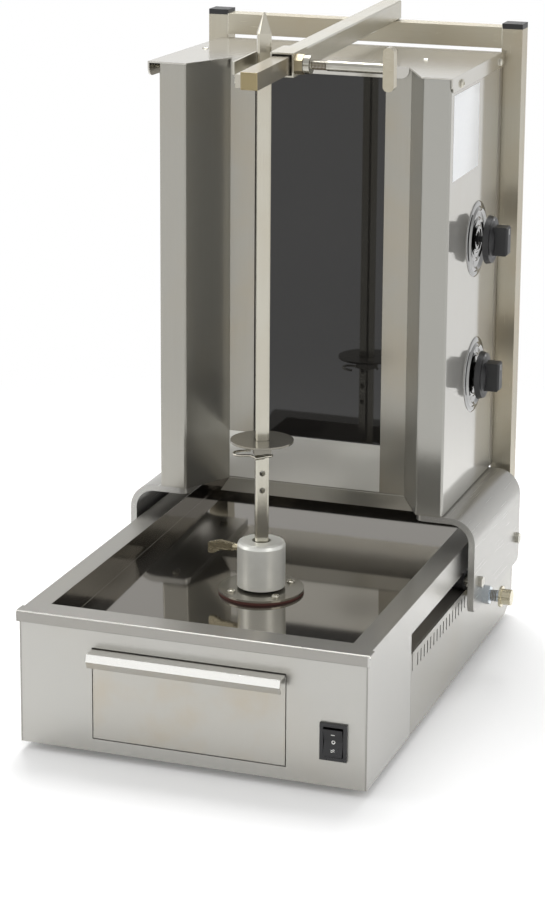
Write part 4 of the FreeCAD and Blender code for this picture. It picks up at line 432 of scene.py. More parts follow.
@dataclass(frozen=True)
class BrushedSteel:
    """Stainless steel sheet 1.4301 with a brushed or bright-rolled face.

    The grain shows as fine streaks that stretch reflections across it. Real grinding lines are finer
    than the streaks here, which are drawn as coarse as they need to be to show. Part of the light is
    scattered wide, as haze. Cooking leaves clouds of a faint straw tint, and folded edges catch a
    bright line.
    """

    name: str
    grain: Grain = Grain.ALONG_Z
    colour: str = "#C6C4BE"
    shade: str = "#BBB8B1"
    tint: str = "#B3A283"
    tint_share: float = 0.15
    roughness: float = 0.24
    streak: float = 0.04
    stretch: float = 0.6
    edge_radius_mm: float = 0.5
    streak_width_mm: float = 0.5
    streak_length_mm: float = 90.0
    cloud_mm: float = 90.0
    haze: float = 0.35
    haze_roughness: float = 0.6
    patches: tuple[Patch, ...] = ()

    def material(self) -> bpy.types.Material:
        """Build the finish.

        Returns:
            The material.
        """
        material, tree, place = new_material(self.name)
        scale = [1 / (self.streak_width_mm * MM)] * 3
        scale[self.grain.value.index(1.0)] = 1 / (self.streak_length_mm * MM)
        drawn = add_node(tree, "ShaderNodeMapping", {"Scale": scale}, {"Vector": place})
        streaks = add_node(tree, "ShaderNodeTexNoise", {"Scale": 1.0, "Detail": 3.0, "Roughness": 0.55},
                           {"Vector": drawn.outputs["Vector"]})
        clouds = add_node(tree, "ShaderNodeTexNoise", {"Scale": 1 / (self.cloud_mm * MM), "Detail": 4.0},
                          {"Vector": place})
        sheet = add_node(tree, "ShaderNodeMix", {**COLOURS, 6: linear(self.colour), 7: linear(self.shade)},
                         {0: streaks.outputs["Fac"]})
        tinge = add_node(tree, "ShaderNodeMapRange",
                         {"From Min": 0.45, "From Max": 0.75, "To Max": self.tint_share},
                         {"Value": clouds.outputs["Fac"]})
        colour = add_node(tree, "ShaderNodeMix", {**COLOURS, 7: linear(self.tint)},
                          {0: tinge.outputs["Result"], 6: sheet.outputs[2]}).outputs[2]
        rough = add_node(tree, "ShaderNodeMapRange",
                         {**NOISE_RANGE, "To Min": max(self.roughness - self.streak, 0.02),
                          "To Max": self.roughness + self.streak},
                         {"Value": streaks.outputs["Fac"]}).outputs["Result"]
        hazy = None
        for patch in self.patches:
            share = patch.share(tree, place)
            colour = add_node(tree, "ShaderNodeMix", {**COLOURS, 7: linear(patch.colour)},
                              {0: share, 6: colour}).outputs[2]
            rough = add_node(tree, "ShaderNodeMix", {**VALUES, 3: patch.roughness},
                             {0: share, 2: rough}).outputs[0]
            hazy = add_node(tree, "ShaderNodeMix", {**VALUES, 2: self.haze, 3: patch.haze},
                            {0: share} if hazy is None else {0: share, 2: hazy}).outputs[0]
        edges = add_node(tree, "ShaderNodeBevel", {"samples": 4, "Radius": self.edge_radius_mm * MM})
        facing = add_node(tree, "ShaderNodeNewGeometry").outputs["Normal"]
        across = add_node(tree, "ShaderNodeVectorMath", {"operation": "CROSS_PRODUCT", 1: self.grain.value},
                          {0: facing})
        sharp = add_node(tree, "ShaderNodeBsdfPrincipled",
                         {"Metallic": 1.0, "Anisotropic": self.stretch},
                         {"Base Color": colour, "Roughness": rough,
                          "Normal": edges.outputs["Normal"], "Tangent": across.outputs["Vector"]})
        wide = add_node(tree, "ShaderNodeBsdfPrincipled",
                        {"Metallic": 1.0, "Roughness": self.haze_roughness},
                        {"Base Color": colour, "Normal": edges.outputs["Normal"]})
        lobes = {1: sharp.outputs["BSDF"], 2: wide.outputs["BSDF"]}
        shader = add_node(tree, "ShaderNodeMixShader", {0: self.haze},
                          lobes if hazy is None else {0: hazy, **lobes})
        add_node(tree, "ShaderNodeOutputMaterial", None, {"Surface": shader.outputs[0]})
        return material


@dataclass(frozen=True)
class TurnedMetal:
    """Metal that was turned, plated or cast.

    A lathe leaves rings too fine to see one by one, so they show as a soft uneven sheen; plated and cast
    parts have clouds in their gloss instead.
    """

    name: str
    colour: str
    shade: str
    roughness: float = 0.25
    spread: float = 0.08
    ring_mm: float = 0.7
    cloud_mm: float = 9.0
    relief: float = 0.05
    relief_mm: float = 0.1
    edge_radius_mm: float = 0.3
    metallic: float = 1.0

    def material(self) -> bpy.types.Material:
        """Build the finish.

        Returns:
            The material.
        """
        material, tree, place = new_material(self.name)
        cloud, ring = 1 / (self.cloud_mm * MM), 1 / (self.ring_mm * MM)
        drawn = add_node(tree, "ShaderNodeMapping", {"Scale": [cloud, cloud, ring]}, {"Vector": place})
        rings = add_node(tree, "ShaderNodeTexNoise", {"Scale": 1.0, "Detail": 3.0},
                         {"Vector": drawn.outputs["Vector"]})
        clouds = add_node(tree, "ShaderNodeTexNoise", {"Scale": cloud, "Detail": 4.0}, {"Vector": place})
        mixed = add_node(tree, "ShaderNodeMix", {**COLOURS, 6: linear(self.colour), 7: linear(self.shade)},
                         {0: clouds.outputs["Fac"]})
        rough = add_node(tree, "ShaderNodeMapRange",
                         {**NOISE_RANGE, "To Min": max(self.roughness - self.spread, 0.03),
                          "To Max": self.roughness + self.spread},
                         {"Value": rings.outputs["Fac"]})
        edges = add_node(tree, "ShaderNodeBevel", {"samples": 4, "Radius": self.edge_radius_mm * MM})
        relief = add_node(tree, "ShaderNodeBump", {"Strength": self.relief, "Distance": self.relief_mm * MM},
                          {"Height": rings.outputs["Fac"], "Normal": edges.outputs["Normal"]})
        shader = add_node(tree, "ShaderNodeBsdfPrincipled", {"Metallic": self.metallic},
                          {"Base Color": mixed.outputs[2], "Roughness": rough.outputs["Result"],
                           "Normal": relief.outputs["Normal"]})
        add_node(tree, "ShaderNodeOutputMaterial", None, {"Surface": shader.outputs["BSDF"]})
        return material


@dataclass(frozen=True)
class Moulded:
    """Moulded plastic, rubber, ceramic or paint: a dull coloured body under a faint fine grain."""

    name: str
    colour: str
    shade: str
    roughness: float = 0.45
    spread: float = 0.06
    grain_mm: float = 0.5
    cloud_mm: float = 20.0
    relief: float = 0.12
    relief_mm: float = 0.05
    edge_radius_mm: float = 0.5
    ior: float = 1.5

    def material(self) -> bpy.types.Material:
        """Build the finish.

        Returns:
            The material.
        """
        material, tree, place = new_material(self.name)
        grain = add_node(tree, "ShaderNodeTexNoise", {"Scale": 1 / (self.grain_mm * MM), "Detail": 2.0},
                         {"Vector": place})
        clouds = add_node(tree, "ShaderNodeTexNoise", {"Scale": 1 / (self.cloud_mm * MM), "Detail": 4.0},
                          {"Vector": place})
        mixed = add_node(tree, "ShaderNodeMix", {**COLOURS, 6: linear(self.colour), 7: linear(self.shade)},
                         {0: clouds.outputs["Fac"]})
        rough = add_node(tree, "ShaderNodeMapRange",
                         {"From Min": 0.3, "From Max": 0.7, "To Min": self.roughness - self.spread,
                          "To Max": self.roughness + self.spread},
                         {"Value": clouds.outputs["Fac"]})
        edges = add_node(tree, "ShaderNodeBevel", {"samples": 4, "Radius": self.edge_radius_mm * MM})
        relief = add_node(tree, "ShaderNodeBump", {"Strength": self.relief, "Distance": self.relief_mm * MM},
                          {"Height": grain.outputs["Fac"], "Normal": edges.outputs["Normal"]})
        shader = add_node(tree, "ShaderNodeBsdfPrincipled", {"IOR": self.ior},
                          {"Base Color": mixed.outputs[2], "Roughness": rough.outputs["Result"],
                           "Normal": relief.outputs["Normal"]})
        add_node(tree, "ShaderNodeOutputMaterial", None, {"Surface": shader.outputs["BSDF"]})
        return material


@dataclass(frozen=True)
class GlassCeramic:
    """Dark glass ceramic: nearly black in depth, with a hard mirror face and faint dust and wiping marks."""

    name: str = "glass_ceramic_dark"
    colour: str = "#141313"
    bloom: str = "#232220"
    roughness: float = 0.03
    wipe_mm: float = 120.0
    ior: float = 1.54

    def material(self) -> bpy.types.Material:
        """Build the finish.

        Returns:
            The material.
        """
        material, tree, place = new_material(self.name)
        wipes = add_node(tree, "ShaderNodeTexNoise", {"Scale": 1 / (self.wipe_mm * MM), "Detail": 5.0},
                         {"Vector": place})
        body = add_node(tree, "ShaderNodeMix", {**COLOURS, 6: linear(self.colour), 7: linear(self.bloom)},
                        {0: wipes.outputs["Fac"]})
        shader = add_node(tree, "ShaderNodeBsdfPrincipled", {"IOR": self.ior, "Roughness": self.roughness},
                          {"Base Color": body.outputs[2]})
        add_node(tree, "ShaderNodeOutputMaterial", None, {"Surface": shader.outputs["BSDF"]})
        return material


@dataclass(frozen=True)
class Lacquer:
    """Printed or painted film: an even coloured layer with a soft sheen and faint unevenness."""

    name: str
    colour: str
    shade: str
    roughness: float = 0.4
    mottle_mm: float = 4.0

    def material(self) -> bpy.types.Material:
        """Build the finish.

        Returns:
            The material.
        """
        material, tree, place = new_material(self.name)
        mottle = add_node(tree, "ShaderNodeTexNoise", {"Scale": 1 / (self.mottle_mm * MM), "Detail": 3.0},
                          {"Vector": place})
        mixed = add_node(tree, "ShaderNodeMix", {**COLOURS, 6: linear(self.colour), 7: linear(self.shade)},
                         {0: mottle.outputs["Fac"]})
        shader = add_node(tree, "ShaderNodeBsdfPrincipled", {"Roughness": self.roughness},
                          {"Base Color": mixed.outputs[2]})
        add_node(tree, "ShaderNodeOutputMaterial", None, {"Surface": shader.outputs["BSDF"]})
        return material


# Parts of sheets with a colour and gloss of their own, as boxes round a middle, in millimetres; several are
# painted light or shade, as said at each.

# Strip of the drawer's handle, bent out to the light: painted near white, a painted highlight for the bright
# reflection that it shows.
HANDLE_STRIP_PAINTED_HIGHLIGHT = Patch("#F5F4F0", 0.2, (-14.0, -257.0, 99.2), (100.0, 9.0, 3.3), haze=0.1)
# Drip pan: deep-drawn and nearly a mirror, a little darker than the rim.
DRIP_PAN = Patch("#98948D", 0.055, (-11.7, -15.0, 108.0), (140.4, 209.0, 21.3), haze=0.05)
# Right skirt of the base: painted paler than the rest of the top, painted light for the brighter reflection
# on the base's right side.
RIGHT_SKIRT_PAINTED_LIGHT = Patch("#C6C5C1", 0.26, (148.0, 0.0, 68.4), (1.5, 300.0, 60.5))
# Lower bar of the glass frame: painted near white, painted light for the brightness that the lamps don't give
# it.
FRAME_FOOT_PAINTED_LIGHT = Patch("#E8E7E2", 0.2, (-23.95, 91.5, 183.5), (75.75, 3.0, 23.0), haze=0.5)
# Front-facing faces of the right panel: painted darker than its right-facing side, as painted shade by the
# way they face.
FRONT_FACES_PAINTED_SHADE = Patch("#ACABA5", 0.14, facing=(0.0, -1.0, 0.0))
# Front-facing end of the arm's inner bar: darker and browner.
INNER_BAR_END_DARKER = Patch("#9C8F6E", 0.3, facing=(0.0, -1.0, 0.0))

STEELS = (
    # Front of the base: 1.4301 sheet, ground upright with 240 grit; a dull pale grey.
    BrushedSteel("steel_ground_base", streak=0.012, colour="#B9B8B3", shade="#B6B5B0", tint_share=0.1),
    # Drawer: the same sheet, straw-tinted by hot fat, with a painted highlight on its handle strip.
    BrushedSteel("steel_ground_drawer", streak=0.012, colour="#B8B6B0", shade="#B5B3AC", tint_share=0.35,
                 cloud_mm=34.0, edge_radius_mm=0.8, patches=(HANDLE_STRIP_PAINTED_HIGHLIGHT,)),
    # Top of the base: sheet ground along the rim, with a fold that catches a bright line; its right skirt
    # carries painted light.
    BrushedSteel("steel_pan_bright", grain=Grain.ALONG_X, colour="#A19F9A", shade="#9E9C97",
                 tint_share=0.06, roughness=0.24, streak=0.01, edge_radius_mm=1.0,
                 patches=(DRIP_PAN, RIGHT_SKIRT_PAINTED_LIGHT)),
    # Wings and flanges of the tower: bright-annealed sheet with a faint upright grain.
    BrushedSteel("steel_bright_upright", colour="#AEACA5", shade="#A5A39B", roughness=0.15,
                 streak=0.03),
    # Frame round the glass: ground along its height, tinted by the heat, with painted light on its lower bar.
    BrushedSteel("steel_ground_frame", colour="#AEACA4", shade="#A5A299", tint_share=0.4,
                 roughness=0.22, patches=(FRAME_FOOT_PAINTED_LIGHT,)),
    # Right panel: bright-rolled, so the knobs mirror in it; its front-facing faces carry painted shade.
    BrushedSteel("steel_bright_rolled", colour="#CBCAC5", shade="#C4C2BC", roughness=0.08,
                 streak=0.02, stretch=0.3, streak_width_mm=0.9, patches=(FRONT_FACES_PAINTED_SHADE,)),
    # Lid: bright-rolled, a little duller from wiping.
    BrushedSteel("steel_lid", grain=Grain.ALONG_X, colour="#C9C7C1", shade="#C2BFB8", roughness=0.16,
                 streak=0.03, stretch=0.3, haze=0.12, tint_share=0.08),
    # Brackets: 3 mm plate, ground across the bend, which draws a long bright line on it.
    BrushedSteel("steel_plate_bracket", grain=Grain.ALONG_Y, colour="#B3B2AE", shade="#B1B0AC",
                 roughness=0.26, tint_share=0.05, streak=0.02),
    # Square tubes: welded, ground along their length and yellowed by pickling.
    BrushedSteel("steel_tube_across", grain=Grain.ALONG_X, colour="#C0BBAB", shade="#B5AF9E",
                 tint_share=0.4, roughness=0.24),
    BrushedSteel("steel_tube_lengthwise", grain=Grain.ALONG_Y, colour="#C4C2B9", shade="#BBB8AD",
                 tint_share=0.3, roughness=0.22, haze=0.25),
    BrushedSteel("steel_tube_upright", grain=Grain.ALONG_Z, colour="#BFBAAC", shade="#B3AE9E",
                 tint_share=0.45, roughness=0.24),
    # Inner bar of the arm: the same tube, darker, with a darker and browner front end.
    BrushedSteel("steel_tube_inner", grain=Grain.ALONG_Y, colour="#A6A297", shade="#9B968A",
                 tint_share=0.3, roughness=0.2, patches=(INNER_BAR_END_DARKER,)),
    # Drawn square bar of the skewer and the shaft: bright, with a straw tint.
    BrushedSteel("steel_bar_drawn", grain=Grain.ALONG_Z, colour="#CCC9BD", shade="#C2BEB1", haze=0.22,
                 tint_share=0.3, roughness=0.2, streak_width_mm=0.6),
    # Laser-cut disc and flange: mill finish, smooth and greyish, with brown clouds.
    BrushedSteel("steel_disc", grain=Grain.ALONG_X, colour="#959289", shade="#89857B",
                 tint_share=0.4, roughness=0.12, stretch=0.2),
    # Hidden and rear sheet: mill finish, left dull.
    BrushedSteel("steel_hidden", colour="#A8A6A0", shade="#9D9A93", roughness=0.35),
)
METALS = (
    # Spring wire, drawn and bright.
    TurnedMetal("steel_wire", "#D2CFC4", "#BEB9AB", roughness=0.16),
    # Stainless bolts as forged: satin.
    TurnedMetal("steel_bolt", "#BDBBB2", "#A9A69B", roughness=0.2),
    # Small stainless screws and weld beads: tumbled bright.
    TurnedMetal("steel_screw_bright", "#D6D3C8", "#C2BEB0", roughness=0.14, spread=0.05),
    # Folds and ground welds: real welds, in a near-white metal that paints the bright highlight line along
    # them.
    TurnedMetal("steel_fold_painted_highlight", "#F2F1EC", "#E6E4DD", roughness=0.3, spread=0.05),
    # Zinc plating: passivated blue on the plunger's nut and yellow on its knob.
    TurnedMetal("zinc_blue", "#C3CBD2", "#AAB1B6", roughness=0.18),
    TurnedMetal("zinc_yellow", "#D2CCB6", "#C3BAA0", roughness=0.2),
    # Cut threads, dark with oil.
    TurnedMetal("steel_thread_oiled", "#6B5F4C", "#514838", roughness=0.35),
    # Chrome on pressed sheet: a clear mirror.
    TurnedMetal("chrome_plated", "#A0A09F", "#959594", roughness=0.05, spread=0.02),
    # Turned and tumbled aluminium: its oxide skin scatters much of the light, so it is pale.
    TurnedMetal("aluminium_tumbled", "#ECECE6", "#E0E0D9", roughness=0.38, spread=0.06,
                metallic=0.55),
    # Cast lever and handle: nickel over brass, worn yellow on its edges.
    TurnedMetal("nickel_cast", "#D0C8B0", "#B3A88A", roughness=0.24, relief=0.2, cloud_mm=5.0),
    TurnedMetal("nickel_handle", "#BDB7A6", "#ADA591", roughness=0.22, relief=0.15, cloud_mm=6.0),
    # Nut of the clamp: passivated steel, dull and brownish.
    TurnedMetal("nut_passivated", "#A89F88", "#988D74", roughness=0.42),
)
OTHERS = (
    # Polyamide caps, bushes and cable gland: moulded, with a fine spark-eroded grain.
    Moulded("polyamide_black", "#232325", "#1D1D1E"),
    # Switch: glossy ABS.
    Moulded("abs_switch", "#1F1F21", "#19191A", roughness=0.28, spread=0.03, relief=0.04),
    # Knobs: phenolic resin, satin with a dusty grain.
    Moulded("phenolic_dark", "#1E1E1F", "#19191A", roughness=0.42),
    # Feet and seal: nitrile rubber, dull.
    Moulded("rubber_black", "#1E1E1E", "#181818", roughness=0.7),
    # Gasket under the flange: red-brown silicone.
    Moulded("silicone_red_brown", "#5A2E26", "#43221C", roughness=0.6),
    # Insulation: pressed mineral fibre with coarse fibres on its face.
    Moulded("fibre_board", "#D9D5CA", "#C9C4B7", roughness=0.9, relief=0.4, grain_mm=1.5),
    # Gearmotor: grey machine enamel.
    Moulded("motor_enamel", "#3E4347", "#363A3E", roughness=0.4),
    # Heating rods: frosted quartz tube, whitish when cold.
    Moulded("quartz_frosted", "#D8D2C8", "#C8C0B4", roughness=0.5),
    GlassCeramic(),
    # Marks pad-printed on the switch and the dials.
    Lacquer("print_white", "#E4E4E0", "#D6D6D2"),
    Lacquer("print_black", "#1C1C1C", "#242424"),
    # Blank foil plate, stuck on the panel.
    Lacquer("foil_white", "#F0F1F2", "#E7E9EB", roughness=0.3),
)


@dataclass
class Finishes:
    """Every finish of the grill, made once and shared by its sub-assemblies."""

    made: dict[str, bpy.types.Material] = field(default_factory=dict)

    def __post_init__(self) -> None:
        """Make the materials."""
        for finish in (*STEELS, *METALS, *OTHERS):
            self.made[finish.name] = finish.material()
        log.info("%d finishes", len(self.made))

    def __getitem__(self, name: str) -> bpy.types.Material:
        """Find a finish by name."""
        return self.made[name]


# Stage


# Brightness of the room that metal mirrors, by height from level (0) to straight up (1): the wall on
# the viewer's side, and the one behind the grill.
WALL_BEFORE = ((0.0, 0.9), (0.12, 1.0), (0.34, 1.0), (0.48, 0.55), (1.0, 0.78))
WALL_BEHIND = ((0.0, 0.96), (0.2, 0.86), (0.4, 0.62), (0.65, 0.5), (1.0, 0.78))

# Name, place in metres and power in watts of each lamp.
LAMPS = (
    ("lamp_top", (-0.25, 0.8, 1.9), 34.0),
    ("lamp_left", (-2.2, -1.2, 1.3), 9.0),
    ("lamp_right", (2.2, -1.4, 1.5), 9.0),
)


@dataclass
class Studio:
    """White floor, even studio surroundings, lamps and the camera.

    Lengths are in metres, apart from the eye's place and the lens, which are in millimetres.
    """

    eye_mm: tuple[float, float, float] = (762.15, -2266.1, 937.6)
    yaw: float = -0.34340764
    pitch: float = 0.24384874
    roll: float = 0.00435838
    lens: float = 108.33
    sensor: float = 36.0
    shift: tuple[float, float] = (0.0263, -0.1416)
    clip: tuple[float, float] = (0.05, 60.0)
    floor_half: float = 6.0
    floor_colour: str = "#F2F2F2"
    glow: float = 0.1
    fade_from: float = 0.5
    fade_to: float = 1.1
    sky: float = 0.74
    wall_blend: float = 0.3
    lamp_size: float = 1.2
    lamp_aim: tuple[float, float, float] = (0.0, 0.0, 0.25)

    def build(self) -> None:
        """Make the camera, the floor, the surroundings and the lamps."""
        self.camera()
        self.floor()
        self.surroundings()
        self.lamps()
        bpy.context.scene.view_settings.view_transform = "Standard"
        log.info("stage ready")

    def camera(self) -> None:
        """Place the camera by its eye point and its three turns."""
        ahead = Vector((math.sin(self.yaw) * math.cos(self.pitch), math.cos(self.yaw) * math.cos(self.pitch),
                        -math.sin(self.pitch)))
        right = Vector((math.cos(self.yaw), -math.sin(self.yaw), 0.0))
        above = right.cross(ahead)
        across = math.cos(self.roll) * right + math.sin(self.roll) * above
        upward = -math.sin(self.roll) * right + math.cos(self.roll) * above
        data = bpy.data.cameras.new("camera")
        data.lens = self.lens
        data.sensor_width = self.sensor
        data.shift_x, data.shift_y = self.shift
        data.clip_start, data.clip_end = self.clip
        camera = new_object("camera", data)
        camera.matrix_world = (Matrix.Translation(Vector(self.eye_mm) * MM)
                               @ Matrix((across, upward, -ahead)).transposed().to_4x4())
        bpy.context.scene.camera = camera

    def floor(self) -> None:
        """Lay the white floor, which keeps the shadow of what stands on it and fades to white beyond."""
        mesh = bmesh.new()
        bmesh.ops.create_grid(mesh, x_segments=1, y_segments=1, size=self.floor_half)
        floor = from_bmesh("floor", mesh)
        material, tree, place = new_material("studio_floor")
        path = add_node(tree, "ShaderNodeLightPath")
        seen = add_node(tree, "ShaderNodeMath", {"operation": "MAXIMUM"},
                        {0: path.outputs["Is Camera Ray"], 1: path.outputs["Is Glossy Ray"]}).outputs[0]
        paper = add_node(tree, "ShaderNodeBsdfDiffuse", {"Color": linear(self.floor_colour)})
        lit = add_node(tree, "ShaderNodeMath", {"operation": "MULTIPLY", 1: self.glow}, {0: seen})
        glow = add_node(tree, "ShaderNodeEmission", {"Color": WHITE}, {"Strength": lit.outputs[0]})
        both = add_node(tree, "ShaderNodeAddShader", None, {0: paper.outputs[0], 1: glow.outputs[0]})
        white = add_node(tree, "ShaderNodeEmission", {"Color": WHITE, "Strength": 1.0})
        away = add_node(tree, "ShaderNodeVectorMath", {"operation": "LENGTH"}, {0: place}).outputs["Value"]
        fade = add_node(tree, "ShaderNodeMapRange",
                        {"interpolation_type": "SMOOTHSTEP", "From Min": self.fade_from,
                         "From Max": self.fade_to}, {"Value": away}).outputs["Result"]
        share = add_node(tree, "ShaderNodeMath", {"operation": "MULTIPLY"}, {0: seen, 1: fade}).outputs[0]
        faded = add_node(tree, "ShaderNodeMixShader", None,
                         {0: share, 1: both.outputs[0], 2: white.outputs[0]})
        add_node(tree, "ShaderNodeOutputMaterial", None, {"Surface": faded.outputs[0]})
        paint(floor, material)

    def surroundings(self) -> None:
        """Fill the world: white to the eye, and a soft room to light and to metal."""
        world = bpy.data.worlds.new("studio")
        bpy.context.scene.world = world
        world.use_nodes = True
        tree = world.node_tree
        tree.nodes.clear()
        path = add_node(tree, "ShaderNodeLightPath")
        way = add_node(tree, "ShaderNodeTexCoord").outputs["Generated"]
        parts = add_node(tree, "ShaderNodeSeparateXYZ", None, {0: way})
        walls = []
        for levels in (WALL_BEFORE, WALL_BEHIND):
            ramp = add_node(tree, "ShaderNodeValToRGB", None, {"Fac": parts.outputs["Z"]})
            stops = ramp.color_ramp.elements
            stops[0].position, stops[0].color = 0.0, (levels[0][1],) * 3 + (1.0,)
            stops[1].position, stops[1].color = 1.0, (levels[-1][1],) * 3 + (1.0,)
            for position, level in levels[1:-1]:
                stops.new(position).color = (level, level, level, 1.0)
            walls.append(ramp.outputs["Color"])
        behind = add_node(tree, "ShaderNodeMapRange",
                          {"From Min": -self.wall_blend, "From Max": self.wall_blend},
                          {"Value": parts.outputs["Y"]}).outputs["Result"]
        both = add_node(tree, "ShaderNodeMix", COLOURS, {0: behind, 6: walls[0], 7: walls[1]})
        room = add_node(tree, "ShaderNodeBackground", {"Strength": 1.0}, {"Color": both.outputs[2]})
        sky = add_node(tree, "ShaderNodeBackground", {"Color": WHITE, "Strength": self.sky})
        white = add_node(tree, "ShaderNodeBackground", {"Color": WHITE, "Strength": 1.0})
        seen = sky
        for ray, shown in (("Is Glossy Ray", room), ("Is Transmission Ray", white), ("Is Camera Ray", white)):
            seen = add_node(tree, "ShaderNodeMixShader", None,
                            {0: path.outputs[ray], 1: seen.outputs[0], 2: shown.outputs[0]})
        add_node(tree, "ShaderNodeOutputWorld", None, {"Surface": seen.outputs[0]})

    def lamps(self) -> None:
        """Hang one large lamp overhead and a weaker one at each side."""
        for name, place, power in LAMPS:
            data = bpy.data.lights.new(name, "AREA")
            data.shape = "SQUARE"
            data.size = self.lamp_size
            data.energy = power
            lamp = new_object(name, data)
            lamp.location = place
            aim = Vector(self.lamp_aim) - Vector(place)
            lamp.rotation_euler = aim.to_track_quat("-Z", "Y").to_euler()


# The grill: sizes are in millimetres


@dataclass
class Base:
    """Folded base with its drip pan, rear housing, feet and gearmotor."""

    finishes: Finishes
    seam_wide: float = 1.0
    seam_round: float = 0.4
    seam_drop: float = 0.4
    fold_round: float = 0.45
    fold_inset: float = 0.3

    def build(self) -> None:
        """Dress the base and lay its weld seams, with a painted highlight along the fold."""
        finish = self.finishes
        dress(finish["steel_pan_bright"], "top_shell")
        dress(finish["steel_ground_base"], "front_panel", "rear_housing")
        dress(finish["steel_hidden"], "bottom_plate", "motor_plate", "drawer_runner_left",
              "drawer_runner_right", "guide_channel_left", "guide_channel_right")
        dress(finish["rubber_black"], "feet")
        dress(finish["polyamide_black"], "cable_gland")
        dress(finish["motor_enamel"], "gearmotor")
        self.seams()

    def seams(self) -> None:
        """Lay the ground weld seams down the rim's front corners and a thin rod along the fold between them,
        both in a near-white metal that paints a bright highlight line.
        """
        low, high = box_mm("top_shell")
        foot = box_mm("front_panel")[1].z
        mesh = bmesh.new()
        for x in (low.x, high.x):
            block(mesh, Vector((x, low.y, (high.z + foot) / 2 - self.seam_drop)),
                  Vector((self.seam_wide, self.seam_wide, high.z - foot)), round_mm=self.seam_round)
        # A thin rod along the front fold: its near-white colour is a painted highlight for the bright line on
        # the fold.
        block(mesh, Vector(((low.x + high.x) / 2, low.y + self.fold_inset, high.z - self.fold_inset)),
              Vector((high.x - low.x, self.seam_wide, self.seam_wide)), round_mm=self.fold_round)
        keep(mesh, "rim_seams_painted_highlight", "base", self.finishes["steel_fold_painted_highlight"])


@dataclass
class Drawer:
    """Fat drawer with its folded handle strip."""

    finishes: Finishes
    spot_radius: float = 2.4
    spot_tall: float = 0.12
    spot_lift: float = 0.08
    spot_below: float = 24.0
    spot_shares: tuple[float, ...] = (0.12, 0.5, 0.88)

    def build(self) -> None:
        """Dress the drawer and press its spot welds, which lie in a row below the handle."""
        dress(self.finishes["steel_ground_drawer"], "drawer_front", "drawer_box")
        low, high = box_mm("drawer_front")
        mesh = bmesh.new()
        for share in self.spot_shares:
            x = low.x + share * (high.x - low.x)
            turned(mesh, [(0.0, 0.0), (0.0, self.spot_radius * 0.7), (self.spot_tall, self.spot_radius * 0.8),
                          (self.spot_tall, self.spot_radius), (0.0, self.spot_radius + 0.15)],
                   Vector((x, low.y - MARK_CLEAR, high.z - self.spot_below)), -INWARDS, 24)
        lay_on(mesh, "drawer_front", INWARDS, self.spot_lift)
        keep(mesh, "drawer_spot_welds", "drawer", self.finishes["steel_ground_drawer"])


@dataclass
class Switch:
    """Three-position rocker switch with its printed marks: a line, a ring and a wave."""

    finishes: Finishes
    mark_step: float = 7.0
    mark_wide: float = 3.4
    mark_lift: float = 0.06
    line: float = 0.75
    wave_line: float = 0.6
    wave_rise: float = 0.35
    wave_steps: tuple[float, float] = (0.55, -0.75)

    def build(self) -> None:
        """Dress the switch and print its marks."""
        dress(self.finishes["abs_switch"], "switch_housing", "rocker")
        low, high = box_mm("rocker")
        x, z = (low.x + high.x) / 2, (low.z + high.z) / 2
        ahead = low.y - MARK_CLEAR
        mesh = bmesh.new()
        block(mesh, Vector((x, ahead, z + self.mark_step)), Vector((self.mark_wide, 0.0, self.line)))
        rings = [ring_points(mesh, radius, Vector((x, ahead, z)), INWARDS, 28)
                 for radius in (self.mark_wide / 2, self.mark_wide / 2 - self.line)]
        bmesh.ops.bridge_loops(mesh, edges=list({edge for ring in rings for vert in ring
                                                 for edge in vert.link_edges}))
        for step in self.wave_steps:
            wave = bmesh.ops.create_grid(mesh, x_segments=12, y_segments=1, size=0.5 * MM)["verts"]
            for vert in wave:
                along = vert.co.x / MM
                up = vert.co.y / MM * self.wave_line + self.wave_rise * math.sin(along * 2 * math.pi)
                vert.co = Vector((x + along * self.mark_wide, ahead, z - self.mark_step + step + up)) * MM
        bmesh.ops.remove_doubles(mesh, verts=mesh.verts, dist=1e-7)
        lay_on(mesh, "rocker", INWARDS, self.mark_lift)
        keep(mesh, "switch_marks", "rocker", self.finishes["print_white"], smooth=False)


@dataclass
class Drive:
    """Turning hub on its flange, with the clamping lever for the skewer."""

    finishes: Finishes
    screw_radius: float = 3.7
    screw_tall: float = 2.2
    seat_lift: float = 0.02

    def build(self) -> None:
        """Dress the drive and set its flange screws."""
        finish = self.finishes
        dress(finish["aluminium_tumbled"], "hub")
        dress(finish["nickel_cast"], "hub_lever")
        dress(finish["steel_disc"], "hub_flange")
        dress(finish["silicone_red_brown"], "flange_gasket")
        dress(finish["steel_bar_drawn"], "drive_shaft")
        dress(finish["rubber_black"], "shaft_seal")
        dress(finish["steel_screw_bright"], "flange_screws")
        self.screws()

    def screws(self) -> None:
        """Set the four domed screws on the flange, where the CAD screws are."""
        top = box_mm("hub_flange")[1].z + self.seat_lift
        mesh = bmesh.new()
        for low, high in loose_parts("flange_screws"):
            middle = (low + high) / 2
            seat = Vector((middle.x, middle.y, top))
            screw(mesh, self.screw_radius, self.screw_tall, seat, UP, shank=seat.z - low.z)
        keep(mesh, "flange_screws_domed", "base", self.finishes["steel_screw_bright"],
             replaces=("flange_screws",))


